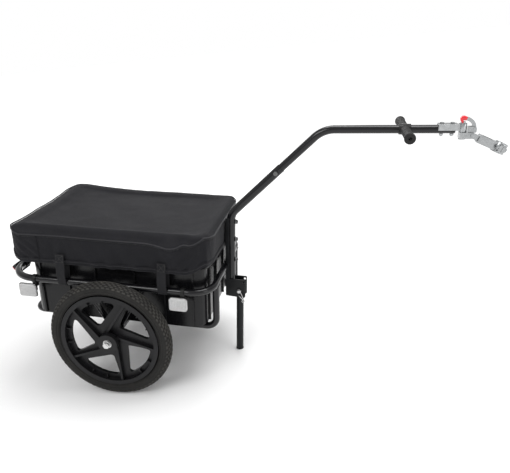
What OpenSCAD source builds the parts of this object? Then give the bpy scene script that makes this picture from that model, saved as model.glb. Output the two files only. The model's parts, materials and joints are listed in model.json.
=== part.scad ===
// Bicycle cargo trailer: a plastic crate in a tubular steel frame on two
// sixteen-inch moulded wheels, with a fabric cover, a two-piece tow bar with a
// T handle, a seat-post hitch and a folding stand leg.
// Modelled with the ground at z = 0, +X towards the bicycle and +Y to the left.

/* [Crate] */
// Length of the crate over its top rim
crate_l = 600; // [480:1:720]
// Width of the crate over its top rim
crate_w = 400; // [330:1:480]
// Height of the crate
crate_h = 320; // [270:1:390]
// Wall thickness of the crate
crate_wall = 3; // [2.5:0.1:4]
// How far the crate's body stands in from its rim
crate_inset = 8; // [6:1:10]
// Corner radius of the crate's body
crate_r = 38; // [20:1:50]

/* [Wheels] */
// Outside diameter of the tyres
wheel_d = 406; // [350:1:480]
// Width of the tyres
tyre_w = 47; // [42:1:50]
// Radius of the rim over its flanges
rim_r = 162; // [140:1:163]
// Width of the rim over its flanges
rim_w = 40; // [36:1:42]
// Length of the wheel hub
hub_l = 65; // [60:1:80]
// Diameter of the axle bolts
axle_d = 12; // [10:0.5:14]
// Number of spokes in each wheel
spokes = 5; // [3:1:6]
// Gap between the tyre and the upper hoop
tyre_gap = 5; // [4:1:20]

/* [Frame] */
// Diameter of the frame tubes
tube_d = 22; // [20:1:25]
// Wall thickness of all the steel tubes
tube_wall = 1.4; // [1.2:0.1:1.8]
// Gap between the crate's rim and the hoop at the sides
side_gap = 11.5; // [10:0.5:20]
// Gap between the crate's rim and the centre line of the hoop in front
front_gap = 18; // [18:1:40]
// Gap between the crate's rim and the centre line of the hoop behind
rear_gap = 58; // [40:1:80]
// Height of the hoop above the crate's floor
hoop_rise = 146; // [120:1:180]
// Distance between the two runners of the cradle
cradle_w = 300; // [220:1:330]
// Diameter of the cross tube that holds the axle bolts
axle_tube_d = 25; // [24:1:27]
// Diameter of the struts of the wheel brackets
strut_d = 18; // [14:1:20]

/* [Tow bar] */
// Diameter of the lower tow tube
lower_d = 28; // [26:0.5:32]
// Clearance of the upper tow tube in the lower one
tow_fit = 0.1; // [0.05:0.01:0.2]
// Height of the bend where the tow bar leaves the mast
bend_z = 559; // [540:1:620]
// Angle of the sloping part of the tow bar
slope = 45.7; // [35:0.1:55]
// Length of the lower tow tube along the slope
lower_slope = 230; // [200:1:280]
// Length of the whole slope of the tow bar
slope_l = 405; // [360:1:460]
// Length of the top part of the tow bar
top_l = 377; // [330:1:450]
// Upward tilt of the top part of the tow bar
top_rise = 2.7; // [0:0.1:6]
// Width of the T handle
handle_w = 290; // [240:1:360]
// Distance of the T handle behind the end of the tow bar
handle_back = 140; // [110:1:180]

/* [Stand leg] */
// Diameter of the stand leg
leg_d = 25; // [20:0.5:26]
// Height of the foot above the ground when the crate is level
foot_z = 38; // [0:1:80]
// Height of the leg's hinge pin
leg_pin_z = 283; // [275:1:290]

/* [Hitch] */
// Diameter of the seat post that the clamp holds
post_d = 27.2; // [25:0.1:31.8]
// Downward tilt of the clamp arm from the top of the tow bar
droop = 24; // [10:1:30]
// Height of the seat-post clamp
clamp_h = 30; // [24:1:40]

/* [Cover and reflectors] */
// How far the cover hangs down over the crate
cover_drop = 108; // [80:1:125]
// Width of the cover's straps
strap_w = 28; // [20:1:40]
// Width of the side reflectors
reflector_w = 60; // [40:1:65]
// Height of the side reflectors
reflector_h = 46; // [30:1:50]

/* [Hidden] */
$fn = 48;

// Clearances that the fits share
run_fit = 0.05;     // radial, a shaft that turns in a bore
bolt_fit = 0.2;     // radial, a bolt through a hole
seat_gap = 0.1;     // between a welded tube end and the tube it is cut to fit
side_play = 0.3;    // between two faces that slide past each other
e = 0.01;           // overrun of a cut

// Heights, from the ground up
axle_z = wheel_d / 2;
tube_r = tube_d / 2;
cradle_z = axle_z + 14;
crate_z = cradle_z + tube_r;
hoop_z = crate_z + hoop_rise;
crate_top = crate_z + crate_h;

// Plan of the frame
hoop_y = crate_w / 2 + side_gap + tube_r;
hoop_front = crate_l / 2 + front_gap;
hoop_rear = -crate_l / 2 - rear_gap;
hoop_front_r = 70;
hoop_rear_r = 90;
cradle_rear = -crate_l / 2 - 22;
cradle_r = 32;
foot_inset = max(cradle_r - front_gap, crate_inset + 2);
foot_h = 8;
tyre_y = hoop_y + tube_r + tyre_gap + tyre_w / 2;
hub_in = tyre_y - hub_l / 2;
hub_out = tyre_y + hub_l / 2;

// Mast and tow bar
mast_t = 2.5;
mast_x = hoop_front + 2.3;
mast_half = lower_d / 2 + 0.3 + mast_t;
mast_depth = 13;
mast_top = bend_z - 12;
tow_x = mast_x + mast_t + 0.2 + lower_d / 2;
bracket_x0 = mast_x;
bracket_x1 = tow_x + 52;
bracket_z0 = leg_pin_z - 27;
bracket_z1 = leg_pin_z + 43;
tow_foot = leg_pin_z + 21.3;
mast_bolt_z = [bend_z - 27, bend_z - 89, hoop_z + 21];
slope_dx = cos(slope);
slope_dz = sin(slope);
upper_d = lower_d - 2 * tube_wall - 2 * tow_fit;
bend2_x = tow_x + slope_l * slope_dx;
bend2_z = bend_z + slope_l * slope_dz;
end_x = bend2_x + top_l * cos(top_rise);
end_z = bend2_z + top_l * sin(top_rise);
leg_x = tow_x + lower_d / 2 + leg_d / 2 + 4.5;

// Hitch, in the frame of the tow bar's end
eye_x = 21;
eye_r = 11;
eye_z0 = -8;
eye_z1 = 17;
hitch_pin_d = 12;
pitch_x = 48;
pitch_z = -18;
pitch_pin_d = 8;
hook_x = 52;
hook_z = 2;
hook_pin_d = 6;
hook_t = 8;
hook_arc_x = 25;
hook_arc_z = 3;
hook_arc_r = 27;
hook_w = 10;
post_x = 86;
post_r = post_d / 2;
clamp_r = post_r + 6;
swivel_d = 10;

// Cover, straps and reflectors
cover_t = 2;
cover_out = 14;
cover_r = 70;
cover_top = crate_top + 1 + cover_t;
hem_z = cover_top - cover_drop;
strap_t = 2;
strap_x = [-160, 170];
strap_top = hem_z + 24;
reflector_x = [[-283, -260], [219, 232]];   // [centre of the reflector, centre of its clamp]
clip_t = 3;
clip_w = 12;
rear_reflector_y = -120;
rear_reflector_tilt = 38.6;

// The row's origin is on the ground below the middle of the overall length
length_front = end_x + pitch_x + (post_x + clamp_r) * cos(droop - top_rise);
length_rear = hoop_rear - tube_r - 23;
axle_x = -(length_front + length_rear) / 2;

module from_axle() { translate([axle_x, 0, 0]) children(); }
module at_wheel(side) {
    rotate([0, 0, 180 * side]) translate([0, -tyre_y, axle_z]) rotate([90, 0, 0]) children();
}
module both_sides() { children(); mirror([0, 1, 0]) children(); }
module along_x(x0, x1) { translate([x0, 0, 0]) rotate([90, 0, 90]) linear_extrude(x1 - x0) children(); }
module rod_x(x0, x1, r) { translate([x0, 0, 0]) rotate([0, 90, 0]) cylinder(h = x1 - x0, r = r); }
module rod_y(y0, y1, r) { translate([0, y0, 0]) rotate([-90, 0, 0]) cylinder(h = y1 - y0, r = r); }
module rod_z(z0, z1, r) { translate([0, 0, z0]) cylinder(h = z1 - z0, r = r); }
module box(x0, x1, y0, y1, z0, z1) { translate([x0, y0, z0]) cube([x1 - x0, y1 - y0, z1 - z0]); }
module hex(z0, z1, across) { translate([0, 0, z0]) cylinder(h = z1 - z0, r = across / sqrt(3), $fn = 6); }
module at_tow_end() { translate([end_x, 0, end_z]) rotate([0, -top_rise, 0]) children(); }
module at_pitch() { at_tow_end() translate([pitch_x, 0, pitch_z]) rotate([0, droop, 0]) children(); }

// Outlines: a polygon whose corners are turned into arcs
function unit(v) = v / norm(v);
function polar(r, a) = [r * cos(a), r * sin(a)];
function corner_arc(p, c, n, r, steps) =
    let (d1 = unit(p - c), d2 = unit(n - c), h = acos(d1 * d2) / 2, m = c + unit(d1 + d2) * r / sin(h))
    let (a = c + d1 * r / tan(h) - m, b = c + d2 * r / tan(h) - m)
    let (a0 = atan2(a[1], a[0]), turn = atan2(a[0] * b[1] - a[1] * b[0], a * b))
    [for (i = [0:steps]) m + polar(r, a0 + turn * i / steps)];
function rounded(pts, r, steps = 6) =
    let (n = len(pts)) [for (i = [0:n - 1]) each
        corner_arc(pts[(i + n - 1) % n], pts[i], pts[(i + 1) % n], is_list(r) ? r[i] : r, steps)];
function rect(x, y) = [[-x, -y], [x, -y], [x, y], [-x, y]];

// Tubes: straight lengths and bends along a list of corners
module turned(x, y, z, at) {
    multmatrix([[x[0], y[0], z[0], at[0]], [x[1], y[1], z[1], at[1]], [x[2], y[2], z[2], at[2]], [0, 0, 0, 1]])
        children();
}
module ring(r, wall) { difference() { circle(r); if (wall > 0) circle(r - wall); } }
module straight(a, b, r, wall) {
    d = unit(b - a);
    side = abs(d[2]) > 0.9 ? [1, 0, 0] : [0, 0, 1];
    u = unit(cross(side, d));
    turned(u, cross(d, u), d, a) linear_extrude(norm(b - a)) ring(r, wall);
}
module bend(c, d1, d2, bend_r, r, wall) {
    turn = acos(d1 * d2);
    start = c - d1 * bend_r * tan(turn / 2);
    across = cross(d1, d2) / sin(turn);
    out = cross(d1, across);
    turned(out, d1, cross(out, d1), start - out * bend_r)
        rotate_extrude(angle = turn, $fn = 96) translate([bend_r, 0]) ring(r, wall);
}
function cut_back(pts, radii, i) =
    let (d1 = unit(pts[i] - pts[i - 1]), d2 = unit(pts[i + 1] - pts[i])) radii[i] * tan(acos(d1 * d2) / 2);
module bent_tube(pts, radii, r, wall = 0) {
    n = len(pts);
    for (i = [0:n - 2]) {
        d = unit(pts[i + 1] - pts[i]);
        a = i == 0 ? pts[0] : pts[i] + d * cut_back(pts, radii, i);
        b = i == n - 2 ? pts[n - 1] : pts[i + 1] - d * cut_back(pts, radii, i + 1);
        straight(a, b, r, wall);
    }
    for (i = [1:n - 2])
        bend(pts[i], unit(pts[i] - pts[i - 1]), unit(pts[i + 1] - pts[i]), radii[i], r, wall);
}

// ---- frame -------------------------------------------------------------

module upper_hoop() color("#1b1b1d") {
    y0 = mast_half;
    pts = [[hoop_front, -y0, hoop_z], [hoop_front, -hoop_y, hoop_z], [hoop_rear, -hoop_y, hoop_z],
           [hoop_rear, hoop_y, hoop_z], [hoop_front, hoop_y, hoop_z], [hoop_front, y0, hoop_z]];
    bent_tube(pts, [0, hoop_front_r, hoop_rear_r, hoop_rear_r, hoop_front_r, 0], tube_r, tube_wall);
}

module hoop_saddle() {
    r = tube_r + seat_gap;
    both_sides() translate([0, -hoop_y, hoop_z]) rod_x(-crate_l / 2, crate_l / 2, r);
    translate([hoop_front, 0, hoop_z]) rod_y(-cradle_w, cradle_w, r);
}

module cradle_tube() color("#1b1b1d") difference() {
    y = cradle_w / 2;
    pts = [[hoop_front, -y, hoop_z], [hoop_front, -y, cradle_z], [cradle_rear, -y, cradle_z],
           [cradle_rear, y, cradle_z], [hoop_front, y, cradle_z], [hoop_front, y, hoop_z]];
    bent_tube(pts, [0, cradle_r, cradle_r, cradle_r, cradle_r, 0], tube_r, tube_wall);
    hoop_saddle();
}

module axle_tube() color("#1b1b1d") difference() {
    half = hoop_y - 4;
    translate([0, 0, axle_z]) rod_y(-half, half, axle_tube_d / 2);
    translate([0, 0, axle_z]) rod_y(-half - e, half + e, axle_d / 2 + run_fit);
    translate([0, 0, axle_z]) rod_y(-half + 50, half - 50, axle_tube_d / 2 - 2.5);
    both_sides() translate([0, -cradle_w / 2, cradle_z]) rod_x(-40, 40, tube_r + seat_gap);
}

// Two struts run down from the hoop to a plate that carries the axle bolt
module wheel_bracket() {
    foot = [19, axle_z + 31];
    head = [98, hoop_z];
    difference() {
        union() {
            for (s = [-1, 1])
                straight([s * foot[0], -hoop_y, foot[1]], [s * head[0], -hoop_y, head[1]], strut_d / 2, 1.5);
            translate([0, -hoop_y + 4, 0]) rotate([90, 0, 0]) linear_extrude(8) polygon(rounded(
                [[-20, axle_z - 22], [20, axle_z - 22], [32, axle_z + 44], [-32, axle_z + 44]], 9));
        }
        translate([0, -hoop_y, hoop_z]) rod_x(-crate_l / 2, crate_l / 2, tube_r + seat_gap);
        translate([0, 0, axle_z]) rod_y(-hoop_y - 5, -hoop_y + 5, axle_d / 2 + run_fit);
    }
}
module right_wheel_bracket() color("#1b1b1d") wheel_bracket();
module left_wheel_bracket() color("#1b1b1d") mirror([0, 1, 0]) wheel_bracket();

module mast_channel() color("#17181a") difference() {
    z0 = bracket_z1 + seat_gap;
    box(mast_x, mast_x + mast_depth, -mast_half, mast_half, z0, mast_top);
    box(mast_x + mast_t, mast_x + mast_depth + 1, mast_t - mast_half, mast_half - mast_t, z0 - 1, mast_top + 1);
    for (z = mast_bolt_z) translate([0, 0, z]) rod_x(mast_x - 1, mast_x + mast_t + 1, 4 + bolt_fit);
}

module mast_bolts() color("#3a3b3d") for (z = mast_bolt_z) translate([0, 0, z]) {
    rod_x(mast_x - 3, mast_x, 8);
    rod_x(mast_x, tow_x + lower_d / 2 + 9, 4);
}

module mast_nuts() color("#55575a") for (z = mast_bolt_z) translate([tow_x + lower_d / 2, 0, z])
    rotate([0, 90, 0]) difference() {
        union() { cylinder(h = 1.5, r = 8.5); hex(1.5, 7.5, 13); }
        translate([0, 0, -1]) cylinder(h = 10, r = 4 + run_fit);
    }

module stand_bracket() color("#1a1b1d") difference() {
    half = mast_half;
    union() {
        translate([0, half, 0]) rotate([90, 0, 0]) linear_extrude(2 * half) polygon(rounded(
            [[bracket_x0, bracket_z0 + 5], [bracket_x1, bracket_z0], [bracket_x1, bracket_z1],
             [bracket_x0, bracket_z1]], [4, 7, 5, 3]));
    }
    difference() {
        box(bracket_x0 + mast_t, bracket_x1 + 1, mast_t - half, half - mast_t, bracket_z0 - 1, bracket_z1 + 1);
        box(bracket_x0, leg_x - leg_d / 2 - 3, -half, half, tow_foot - 4, tow_foot - 0.3);
        box(leg_x - leg_d / 2 - 3.3, leg_x - leg_d / 2 - side_play, -half, half, bracket_z0 + 5, bracket_z0 + 17);
    }
    translate([leg_x, 0, leg_pin_z]) rod_y(-half - 1, half + 1, 4 + run_fit);
    translate([bracket_x1 - 7, 0, bracket_z1 - 10]) rod_y(-half - 1, half + 1, 4.2);
}

module leg_washers() color("#c9cbcd") both_sides() translate([leg_x, 0, leg_pin_z]) difference() {
    gap = mast_half - mast_t - leg_d / 2;
    rod_y(leg_d / 2 + side_play / 2, leg_d / 2 + gap - side_play / 2, 9);
    rod_y(0, mast_half, 4 + run_fit);
}

// Angle brackets on the rear bar keep the crate from sliding back
module crate_stops() color("#1a1b1d") both_sides() translate([0, -cradle_w / 2 + 35, 0]) {
    face = -crate_l / 2 + crate_inset - rib_out - side_play;
    seat = cradle_z + tube_r + seat_gap;
    box(cradle_rear - 6, face, 0, 22, seat, seat + 3);
    box(face - 3, face, 0, 22, seat, seat + 38);
}

// ---- crate -------------------------------------------------------------

module crate_outline(inset) polygon(rounded(
    rect(crate_l / 2 - inset, crate_w / 2 - inset), max(crate_r - inset + crate_inset, 6)));
module slab(z0, z1) { translate([0, 0, z0]) linear_extrude(z1 - z0) children(); }

rib_out = 6;
module crate_ribs() {
    w = 5;
    h = crate_h - foot_h - e;
    z = crate_top - e - h / 2;
    for (f = [-0.85, -0.533, -0.217, 0.217, 0.533, 0.85]) for (s = [-1, 1])
        translate([f * crate_l / 2, s * (crate_w / 2 - crate_inset + rib_out / 2 - 1), z])
            cube([w, rib_out + 2, h], center = true);
    for (f = [-0.7, -0.25, 0.25, 0.7]) for (s = [-1, 1])
        translate([s * (crate_l / 2 - crate_inset + rib_out / 2 - 1), f * crate_w / 2, z])
            cube([rib_out + 2, w, h], center = true);
}

module crate() color("#141416") difference() {
    top = crate_top;
    union() {
        slab(crate_z, crate_z + foot_h) crate_outline(foot_inset);
        slab(crate_z + foot_h, top) crate_outline(crate_inset);
        slab(top - 22, top) crate_outline(0);
        slab(top - 114, top - 109) crate_outline(crate_inset - 6);
        crate_ribs();
    }
    slab(crate_z + crate_wall, top + 1) crate_outline(foot_inset + crate_wall);
    slab(crate_z + foot_h + crate_wall, top + 1) crate_outline(crate_inset + crate_wall);
    difference() {
        slab(top - 23, top - crate_wall) crate_outline(crate_wall);
        slab(top - 24, top) crate_outline(crate_inset + crate_wall - e);
        crate_ribs();
    }
    for (s = [-1, 1]) translate([s * crate_l / 2, 0, top - 68]) rotate([90, 0, 90])
        translate([0, 0, -20]) linear_extrude(40) polygon(rounded(rect(52, 14), 11));
}

// ---- cover -------------------------------------------------------------

module cover_outline(inset) polygon(rounded(
    rect(crate_l / 2 + cover_out - inset, crate_w / 2 + cover_out - inset), cover_r - inset));

module cover() color("#2a2a2c") difference() {
    slab(hem_z, cover_top) cover_outline(0);
    slab(hem_z - 1, cover_top - cover_t) cover_outline(cover_t);
}

// Each strap is sewn to the cover and loops under the hoop
module straps() {
    outer = crate_w / 2 + cover_out + side_play;
    loop_r = tube_r + side_play;
    for (x = strap_x) translate([x - strap_w / 2, 0, 0]) {
        difference() {
            translate([0, -hoop_y, hoop_z]) rod_x(0, strap_w, loop_r + strap_t);
            translate([0, -hoop_y, hoop_z]) rod_x(-1, strap_w + 1, loop_r);
            box(-1, strap_w + 1, -hoop_y - 30, -hoop_y + 30, hoop_z, hoop_z + 30);
        }
        box(0, strap_w, -hoop_y - loop_r - strap_t, -hoop_y - loop_r, hoop_z, strap_top - 20);
        box(0, strap_w, -hoop_y + loop_r, -hoop_y + loop_r + strap_t, hoop_z, hem_z - 1);
        box(0, strap_w, -hoop_y - loop_r - strap_t, -outer, strap_top - 20, strap_top - 18);
        box(0, strap_w, -outer - strap_t, -outer, strap_top - 20, strap_top);
    }
}
module right_straps() color("#232325") straps();
module left_straps() color("#232325") mirror([0, 1, 0]) straps();

// ---- tow bar -----------------------------------------------------------

module tow_tube_lower() color("#151517") difference() {
    pts = [[tow_x, 0, tow_foot], [tow_x, 0, bend_z],
           [tow_x + lower_slope * slope_dx, 0, bend_z + lower_slope * slope_dz]];
    bent_tube(pts, [0, 50, 0], lower_d / 2, tube_wall);
    for (z = mast_bolt_z) translate([0, 0, z]) rod_x(tow_x - 30, tow_x + 30, 4 + bolt_fit);
    at_joint_bolt() rod_y(-40, 40, 4 + bolt_fit);
}

module tow_tube_upper() color("#151517") difference() {
    from = lower_slope - 90;
    pts = [[tow_x + from * slope_dx, 0, bend_z + from * slope_dz], [bend2_x, 0, bend2_z], [end_x, 0, end_z]];
    bent_tube(pts, [0, 90, 0], upper_d / 2, tube_wall);
    at_joint_bolt() rod_y(-40, 40, 4 + bolt_fit);
    at_tow_end() {
        for (x = coupler_bolt_x) translate([x, 0, 0]) rod_z(-30, 30, 3 + bolt_fit);
        translate([-handle_back, 0, 0]) rod_y(-40, 40, tube_r + run_fit);
    }
}

module at_joint_bolt() {
    l = lower_slope - 22;
    translate([tow_x + l * slope_dx, 0, bend_z + l * slope_dz]) children();
}

module tow_joint_bolt() color("#8c8e90") at_joint_bolt() {
    half = lower_d / 2;
    rod_y(-half - 6, half + 9, 4);
    rotate([90, 0, 0]) hex(half, half + 5.5, 13);
    rotate([-90, 0, 0]) hex(half, half + 6.5, 13);
}

module handle_bar() color("#151517") at_tow_end() translate([-handle_back, 0, 0]) difference() {
    rod_y(5 - handle_w / 2, handle_w / 2 - 5, tube_r);
    rod_y(-handle_w, handle_w, tube_r - tube_wall);
}

tee_half = 17;
module handle_tee() color("#1d1e20") at_tow_end() translate([-handle_back, 0, 0]) difference() {
    union() {
        rod_y(-tee_half, tee_half, tube_r + 4.5);
        rod_x(-tee_half, tee_half, upper_d / 2 + 3);
    }
    rod_y(-40, 40, tube_r + run_fit);
    rod_x(-40, 40, upper_d / 2 + run_fit);
}

module grip() at_tow_end() translate([-handle_back, 0, 0]) difference() {
    union() {
        rod_y(-handle_w / 2, -tee_half - side_play, tube_r + 4);
        rod_y(-handle_w / 2, -handle_w / 2 + 6, tube_r + 6);
        rod_y(-tee_half - 5, -tee_half - side_play, tube_r + 5.5);
    }
    rod_y(-handle_w / 2 + 4.5, 0, tube_r + run_fit);
    rod_y(-handle_w, 0, 3.5);
}
module right_grip() color("#222426") grip();
module left_grip() color("#222426") mirror([0, 1, 0]) grip();

coupler_bolt_x = [-37, -8];
channel_in = upper_d / 2 + 0.3;
channel_out = channel_in + 3;
module coupler_channel() color("#c8cbcd") at_tow_end() difference() {
    union() {
        box(-48, 6, -channel_out, channel_out, -2, channel_out);
        box(1, eye_x, -7, 7, -4, channel_out - 1);
        translate([eye_x, 0, 0]) rod_z(eye_z0, eye_z1, eye_r);
    }
    box(-50, 0.5, -channel_in, channel_in, -5, channel_in);
    translate([eye_x, 0, 0]) rod_z(eye_z0 - 1, eye_z1 + 1, hitch_pin_d / 2 + run_fit);
    for (x = coupler_bolt_x) translate([x, 0, 0]) rod_z(0, 30, 3 + bolt_fit);
}

module coupler_bolts() color("#b9bcbe") at_tow_end() for (x = coupler_bolt_x) translate([x, 0, 0]) {
    rod_z(-upper_d / 2 - 8, channel_out, 3);
    hex(channel_out, channel_out + 4, 10);
    hex(-upper_d / 2 - 5.5, -upper_d / 2, 10);
}

// ---- wheels ------------------------------------------------------------

module axle_bolt() translate([0, 0, axle_z]) {
    rod_y(-hub_out - 2.5, -hoop_y + 50, axle_d / 2);
    rotate([90, 0, 0]) hex(hub_out + 2.5, hub_out + 10, 19);
    rod_y(-hub_out - 12, -hub_out - 10, axle_d / 2);
}
module right_axle_bolt() color("#d3d5d6") axle_bolt();
module left_axle_bolt() color("#d3d5d6") mirror([0, 1, 0]) axle_bolt();

module axle_washers() color("#bfc1c3") both_sides() translate([0, 0, axle_z]) difference() {
    union() {
        rod_y(-hub_out - 2.5, -hub_out - side_play, 12);
        rod_y(-hub_in + side_play, -hoop_y - 4, 12);
    }
    rod_y(-hub_out - 5, 0, axle_d / 2 + run_fit);
}

tyre_r = tyre_w / 2;
tyre_mid = wheel_d / 2 - tyre_r;
casing = 4;
seat_r = tyre_mid - tyre_r - 0.2;
module tyre() rotate_extrude($fn = 96) difference() {
    translate([tyre_mid, 0]) circle(tyre_r);
    translate([tyre_mid, 0]) circle(tyre_r - casing);
    translate([tyre_mid - tyre_r - 1, -7]) square([casing + 4, 14]);
}
module inner_tube() rotate_extrude($fn = 96) difference() {
    translate([tyre_mid, 0]) circle(tyre_r - casing - 0.2);
    translate([tyre_mid, 0]) circle(tyre_r - casing - 1.8);
}

// One window of the wheel: two straight sides from a point by the hub and the rim's arc
valve_a = 103;
function window(pitch) =
    let (near = 0.345 * rim_r, far = 0.82 * rim_r, a0 = 135, a1 = a0 - 0.8 * pitch)
    rounded(concat([polar(near, a0 - 5)], [for (i = [0:8]) polar(far, a0 + (a1 - a0) * i / 8)]),
        [10, 9, each [for (i = [1:7]) 0.5], 9], 4);

module rim() difference() {
    half = rim_w / 2;
    pitch = 360 / spokes;
    union() {
        rotate_extrude($fn = 96) polygon([[seat_r - 6, -half], [rim_r, -half], [rim_r, 4 - half],
            [seat_r, 4 - half], [seat_r, half - 4], [rim_r, half - 4], [rim_r, half], [seat_r - 8, half],
            [seat_r - 8, half - 4], [seat_r - 6, half - 5]]);
        translate([0, 0, -5]) linear_extrude(10) difference() {
            circle(seat_r - 5, $fn = 96);
            for (k = [0:spokes - 1]) rotate(k * pitch) polygon(window(pitch));
        }
        for (k = [0:spokes - 1]) rotate(k * pitch) {
            hub_end = polar(30, 176);
            tip = polar(seat_r - 6.5, 138);
            run = tip - hub_end;
            translate(hub_end) rotate(atan2(run[1], run[0])) translate([0, -3.5, -half + 3])
                cube([norm(run), 7, rim_w - 6]);
            for (a = [96, 117]) rotate(a) translate([0.82 * rim_r + 1, -1.5, 0]) cube([seat_r - 6.5 - 0.82 * rim_r, 3, half - 7]);
        }
        translate([0, 0, -hub_l / 2]) cylinder(h = hub_l, r = 24);
        translate([0, 0, hub_l / 2 - 20]) cylinder(h = 20, r = 32);
    }
    translate([0, 0, -hub_l]) cylinder(h = 2 * hub_l, r = 10);
    for (s = [0, 1]) mirror([0, 0, s]) translate([0, 0, hub_l / 2 - 9]) cylinder(h = 10, r = 14 + 0.02);
    rotate(valve_a) rod_x(100, rim_r, 4 + bolt_fit);
}

module bearings() for (s = [0, 1]) mirror([0, 0, s]) translate([0, 0, hub_l / 2 - 8.5]) difference() {
    cylinder(h = 8, r = 14);
    translate([0, 0, -1]) cylinder(h = 10, r = axle_d / 2 + run_fit);
}

module valve() rotate(valve_a) rod_x(seat_r - 38, seat_r - 0.5, 4);

module right_tyre() color("#2c2c2b") at_wheel(0) tyre();
module left_tyre() color("#2c2c2b") at_wheel(1) tyre();
module right_inner_tube() color("#202020") at_wheel(0) inner_tube();
module left_inner_tube() color("#202020") at_wheel(1) inner_tube();
module right_rim() color("#19191b") at_wheel(0) rim();
module left_rim() color("#19191b") at_wheel(1) rim();
module right_bearings() color("#b0b2b5") at_wheel(0) bearings();
module left_bearings() color("#b0b2b5") at_wheel(1) bearings();
module right_valve() color("#1f1f1f") at_wheel(0) valve();
module left_valve() color("#1f1f1f") at_wheel(1) valve();

// ---- stand leg ---------------------------------------------------------

module stand_leg() color("#1c1d1f") translate([leg_x, 0, 0]) difference() {
    union() {
        rod_z(foot_z + 3, leg_pin_z, leg_d / 2);
        intersection() {
            rod_z(leg_pin_z - e, leg_pin_z + leg_d / 2, leg_d / 2);
            translate([0, 0, leg_pin_z]) rod_y(-leg_d, leg_d, leg_d / 2);
        }
    }
    rod_z(foot_z, leg_pin_z - 15, leg_d / 2 - 2);
    translate([0, 0, leg_pin_z]) rod_y(-leg_d, leg_d, 4 + run_fit);
}

module stand_foot() color("#161617") translate([leg_x, 0, 0]) {
    rod_z(foot_z, foot_z + 3, leg_d / 2 + 1);
    rod_z(foot_z + 3, foot_z + 22, leg_d / 2 - 2);
}

module stand_pin() color("#d5d7d8") translate([leg_x, 0, leg_pin_z]) {
    rod_y(-mast_half - 9, mast_half + 2, 4);
    rod_y(-mast_half - 5, -mast_half - side_play, 7);
}

// Spring clip through the pin's outer end, hanging down
module stand_pin_clip() color("#dfe1e2") translate([leg_x, -mast_half - 7, leg_pin_z]) {
    wire = 1.2;
    for (s = [0, 1]) rotate([0, -18 - 10 * s, 0]) rod_z(-38, -5.4, wire);
    rotate([0, -23, 0]) translate([0, 0, -41]) rotate([90, 0, 0]) rotate_extrude() translate([4, 0]) circle(wire);
    rotate([90, 0, 0]) rotate_extrude() translate([4 + wire + side_play, 0]) circle(wire);
}

// ---- hitch -------------------------------------------------------------

module hitch_yoke() color("#c4c7c9") at_tow_end() difference() {
    top = eye_z0 - side_play;
    union() {
        box(12, 37, -14, 14, -26, top);
        for (s = [0, 1]) mirror([0, s, 0]) {
            translate([0, 14, 0]) rotate([90, 0, 0]) linear_extrude(4.5) polygon(rounded(
                [[30, -26], [56, -26], [56, -10], [30, top]], [1, 7, 7, 1]));
            translate([0, hook_t / 2 + side_play + 4, 0]) rotate([90, 0, 0]) linear_extrude(4) polygon(rounded(
                [[34.5, -9.5], [58, -9.5], [58, 8], [34.5, 8]], [0.5, 4, 6, 2]));
        }
        box(34.5, 39, -hook_t / 2 - 4, hook_t / 2 + 4, -20, 8);
    }
    translate([eye_x, 0, 0]) rod_z(-30, 10, hitch_pin_d / 2 + e);
    translate([pitch_x, 0, pitch_z]) rod_y(-20, 20, pitch_pin_d / 2 + e);
    translate([hook_x, 0, hook_z]) rod_y(-20, 20, hook_pin_d / 2 + e);
}

module hitch_pin() color("#b9bcbf") at_tow_end() translate([eye_x, 0, 0]) {
    rod_z(-29, eye_z1 + 5, hitch_pin_d / 2);
    rod_z(-29, -26, hitch_pin_d / 2 + 4);
}

module hook_sector(r0, r1, a0, a1) translate([hook_arc_x, 0, hook_arc_z]) rotate([90, 0, 0])
    rotate([0, 0, a0]) rotate_extrude(angle = a1 - a0, $fn = 96) translate([r0, 0]) square([r1 - r0, hook_t]);

module lock_hook() color("#ced1d3") at_tow_end() translate([0, hook_t / 2, 0]) difference() {
    union() {
        hook_sector(hook_arc_r - hook_w / 2, hook_arc_r + hook_w / 2, 0, 100);
        rotate([90, 0, 0]) linear_extrude(hook_t) polygon(rounded(
            [[hook_x - 5, hook_z - 5], [hook_x + 5, hook_z - 5], [hook_x + 5, hook_arc_z], [hook_x - 5, hook_arc_z]],
            [4.5, 4.5, 0.1, 0.1]));
    }
    translate([hook_x, 0, hook_z]) rod_y(-hook_t - 1, 1, hook_pin_d / 2 + run_fit);
}

module hook_cap() color("#d3212b") at_tow_end() difference() {
    translate([0, hook_t / 2 + 2, 0]) translate([hook_arc_x, 0, hook_arc_z]) rotate([90, 0, 0])
        rotate([0, 0, 88]) rotate_extrude(angle = 17, $fn = 96)
        translate([hook_arc_r - hook_w / 2 - 1.2, 0]) square([hook_w + 2.8, hook_t + 4]);
    translate([0, hook_t / 2, 0]) hook_sector(hook_arc_r - hook_w / 2 - e, hook_arc_r + hook_w / 2 + e, 0, 100 + e);
}

module hook_pin() color("#b9bcbf") at_tow_end() translate([hook_x, 0, hook_z])
    rod_y(-hook_t / 2 - 6, hook_t / 2 + 6, hook_pin_d / 2);
module pitch_pin() color("#b9bcbf") at_tow_end() translate([pitch_x, 0, pitch_z]) {
    rod_y(-17, 17, pitch_pin_d / 2);
    rod_y(14.1, 17, pitch_pin_d / 2 + 2.5);
    rod_y(-17, -14.1, pitch_pin_d / 2 + 2.5);
}

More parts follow.
